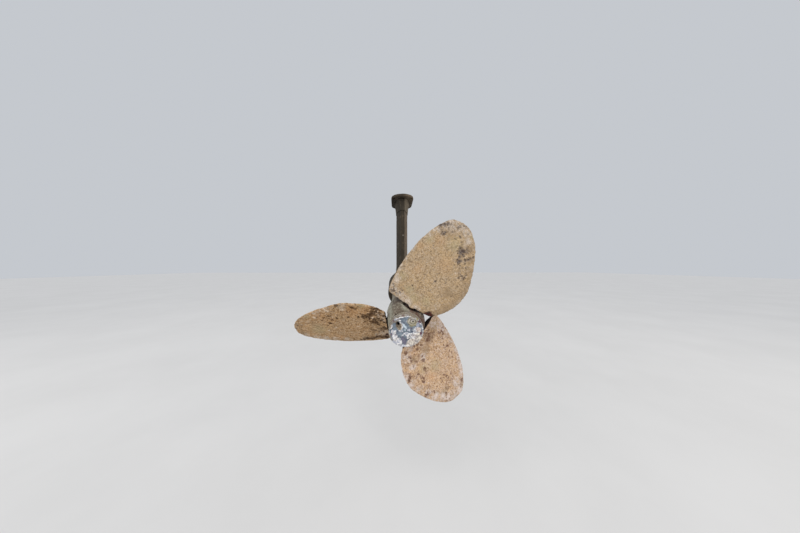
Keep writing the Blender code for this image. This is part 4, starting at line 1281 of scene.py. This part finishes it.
def studio():
    bpy.context.scene.view_settings.view_transform = "Standard"
    world = bpy.data.worlds.new("soft surround")
    bpy.context.scene.world = world
    world.use_nodes = True
    surround = world.node_tree.nodes["Background"]
    surround.inputs["Color"].default_value = SURROUND_COLOUR
    surround.inputs["Strength"].default_value = SURROUND_STRENGTH
    for name, light in SIDE_LIGHTS.items():
        soft_light(name, *light)
    data = bpy.data.lights.new("open_sky", "SUN")
    data.energy = SKY_POWER
    data.angle = SKY_WIDTH
    data.color = SKY_COLOUR
    open_sky = link("open_sky", data)
    open_sky.rotation_euler = Vector(SKY_FROM).to_track_quat("Z", "Y").to_euler()


def pale_floor():
    bm = bmesh.new()
    bmesh.ops.create_grid(bm, x_segments=2, y_segments=2, size=FLOOR_SIZE / 2)
    mesh = bpy.data.meshes.new("floor")
    bm.to_mesh(mesh)
    bm.free()
    floor = link("floor", mesh)
    floor.location = (0.0, 0.0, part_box("blade_3")[0].z - FLOOR_DROP)
    look = Look("floor_paint")
    wide = look.blotches(0.6, cover=0.5, softness=0.3)
    look.surface(look.blend(wide, (0.60, 0.60, 0.60), (0.64, 0.64, 0.64)), 0.9)
    mesh.materials.append(look.material)


def dress(material, *nodes):
    """Gives CAD nodes that stay as they are a better material."""
    for node in nodes:
        holder = frame["nodes"][node]
        if not holder.material_slots:
            holder.data.materials.append(material)
        for place in holder.material_slots:
            place.link = "OBJECT"
            place.material = material


astern_camera()
studio()
pale_floor()

worn_anode(eroded_zinc())
UPPER_CRUST = crusted_bronze("upper_crust", UPPER_COLOURS, grit=0.65, dark_share=0.08, pale_share=0.12)
PORT_CRUST = crusted_bronze("port_crust", PORT_COLOURS, grit=0.8, dark_share=0.28, pale_share=0.25)
LOWER_CRUST = crusted_bronze("lower_crust", LOWER_COLOURS, grit=0.95, dark_share=0.45, pale_share=0.22)
crusted_blade(1, "upper_blade", UPPER_MARKS, 100, UPPER_CRUST)
crusted_blade(2, "port_blade", PORT_MARKS, 200, PORT_CRUST)
crusted_blade(3, "lower_blade", LOWER_MARKS, 300, LOWER_CRUST)

LIMED = hub_deposit()
limed_hub("hub_front_half", "limed_hub_front", 400, LIMED)
limed_hub("hub_rear_half", "limed_hub_rear", 410, LIMED)

# The two distances to starboard between which each piece's painted side light rises, and how much its line
# wanders
LEG_PAINTED_LIGHT = (5.0, 9.0, 0.0)
WIDE_PAINTED_LIGHT = (-30.0, 50.0, 22.0)
BOTTOM_PAINT = (antifouling("bottom_paint", (0.027, 0.022, 0.016), (0.085, 0.064, 0.044)), "antifouling")
COLLAR_PAINT = (antifouling("collar_paint", (0.030, 0.025, 0.019), (0.085, 0.069, 0.049)), "fairing")
painted_casting("strut_leg", "painted_leg", PAINT_GRAIN, 500, *BOTTOM_PAINT, LEG_PAINTED_LIGHT)
painted_casting("strut_barrel", "painted_barrel", PAINT_GRAIN, 510, *BOTTOM_PAINT, WIDE_PAINTED_LIGHT,
                outside_of_bore)
painted_casting("strut_fairing", "filler_collar", TOP_GRAIN, 520, *COLLAR_PAINT, LEG_PAINTED_LIGHT, below_top_face)
painted_casting("strut_palm", "palm_casting", TOP_GRAIN, 530, *BOTTOM_PAINT, WIDE_PAINTED_LIGHT, below_top_face)

dress(dulled_steel(), "propeller_shaft", "bearing_screw_1", "bearing_screw_2", "hub_bolt_1", "hub_bolt_2",
      "hub_bolt_3")
dress(stained_screw(), *(f"anode_{kind}_{k}" for kind in ("screw", "washer") for k in (1, 3, 4)))
dress(brass_metal(), "bearing_shell", "shaft_nut")
dress(bearing_rubber(), "bearing_rubber")
# the blades' bushes carry painted shade
dress(bush_painted_shade(), "blade_bush_1", "blade_bush_2", "blade_bush_3")
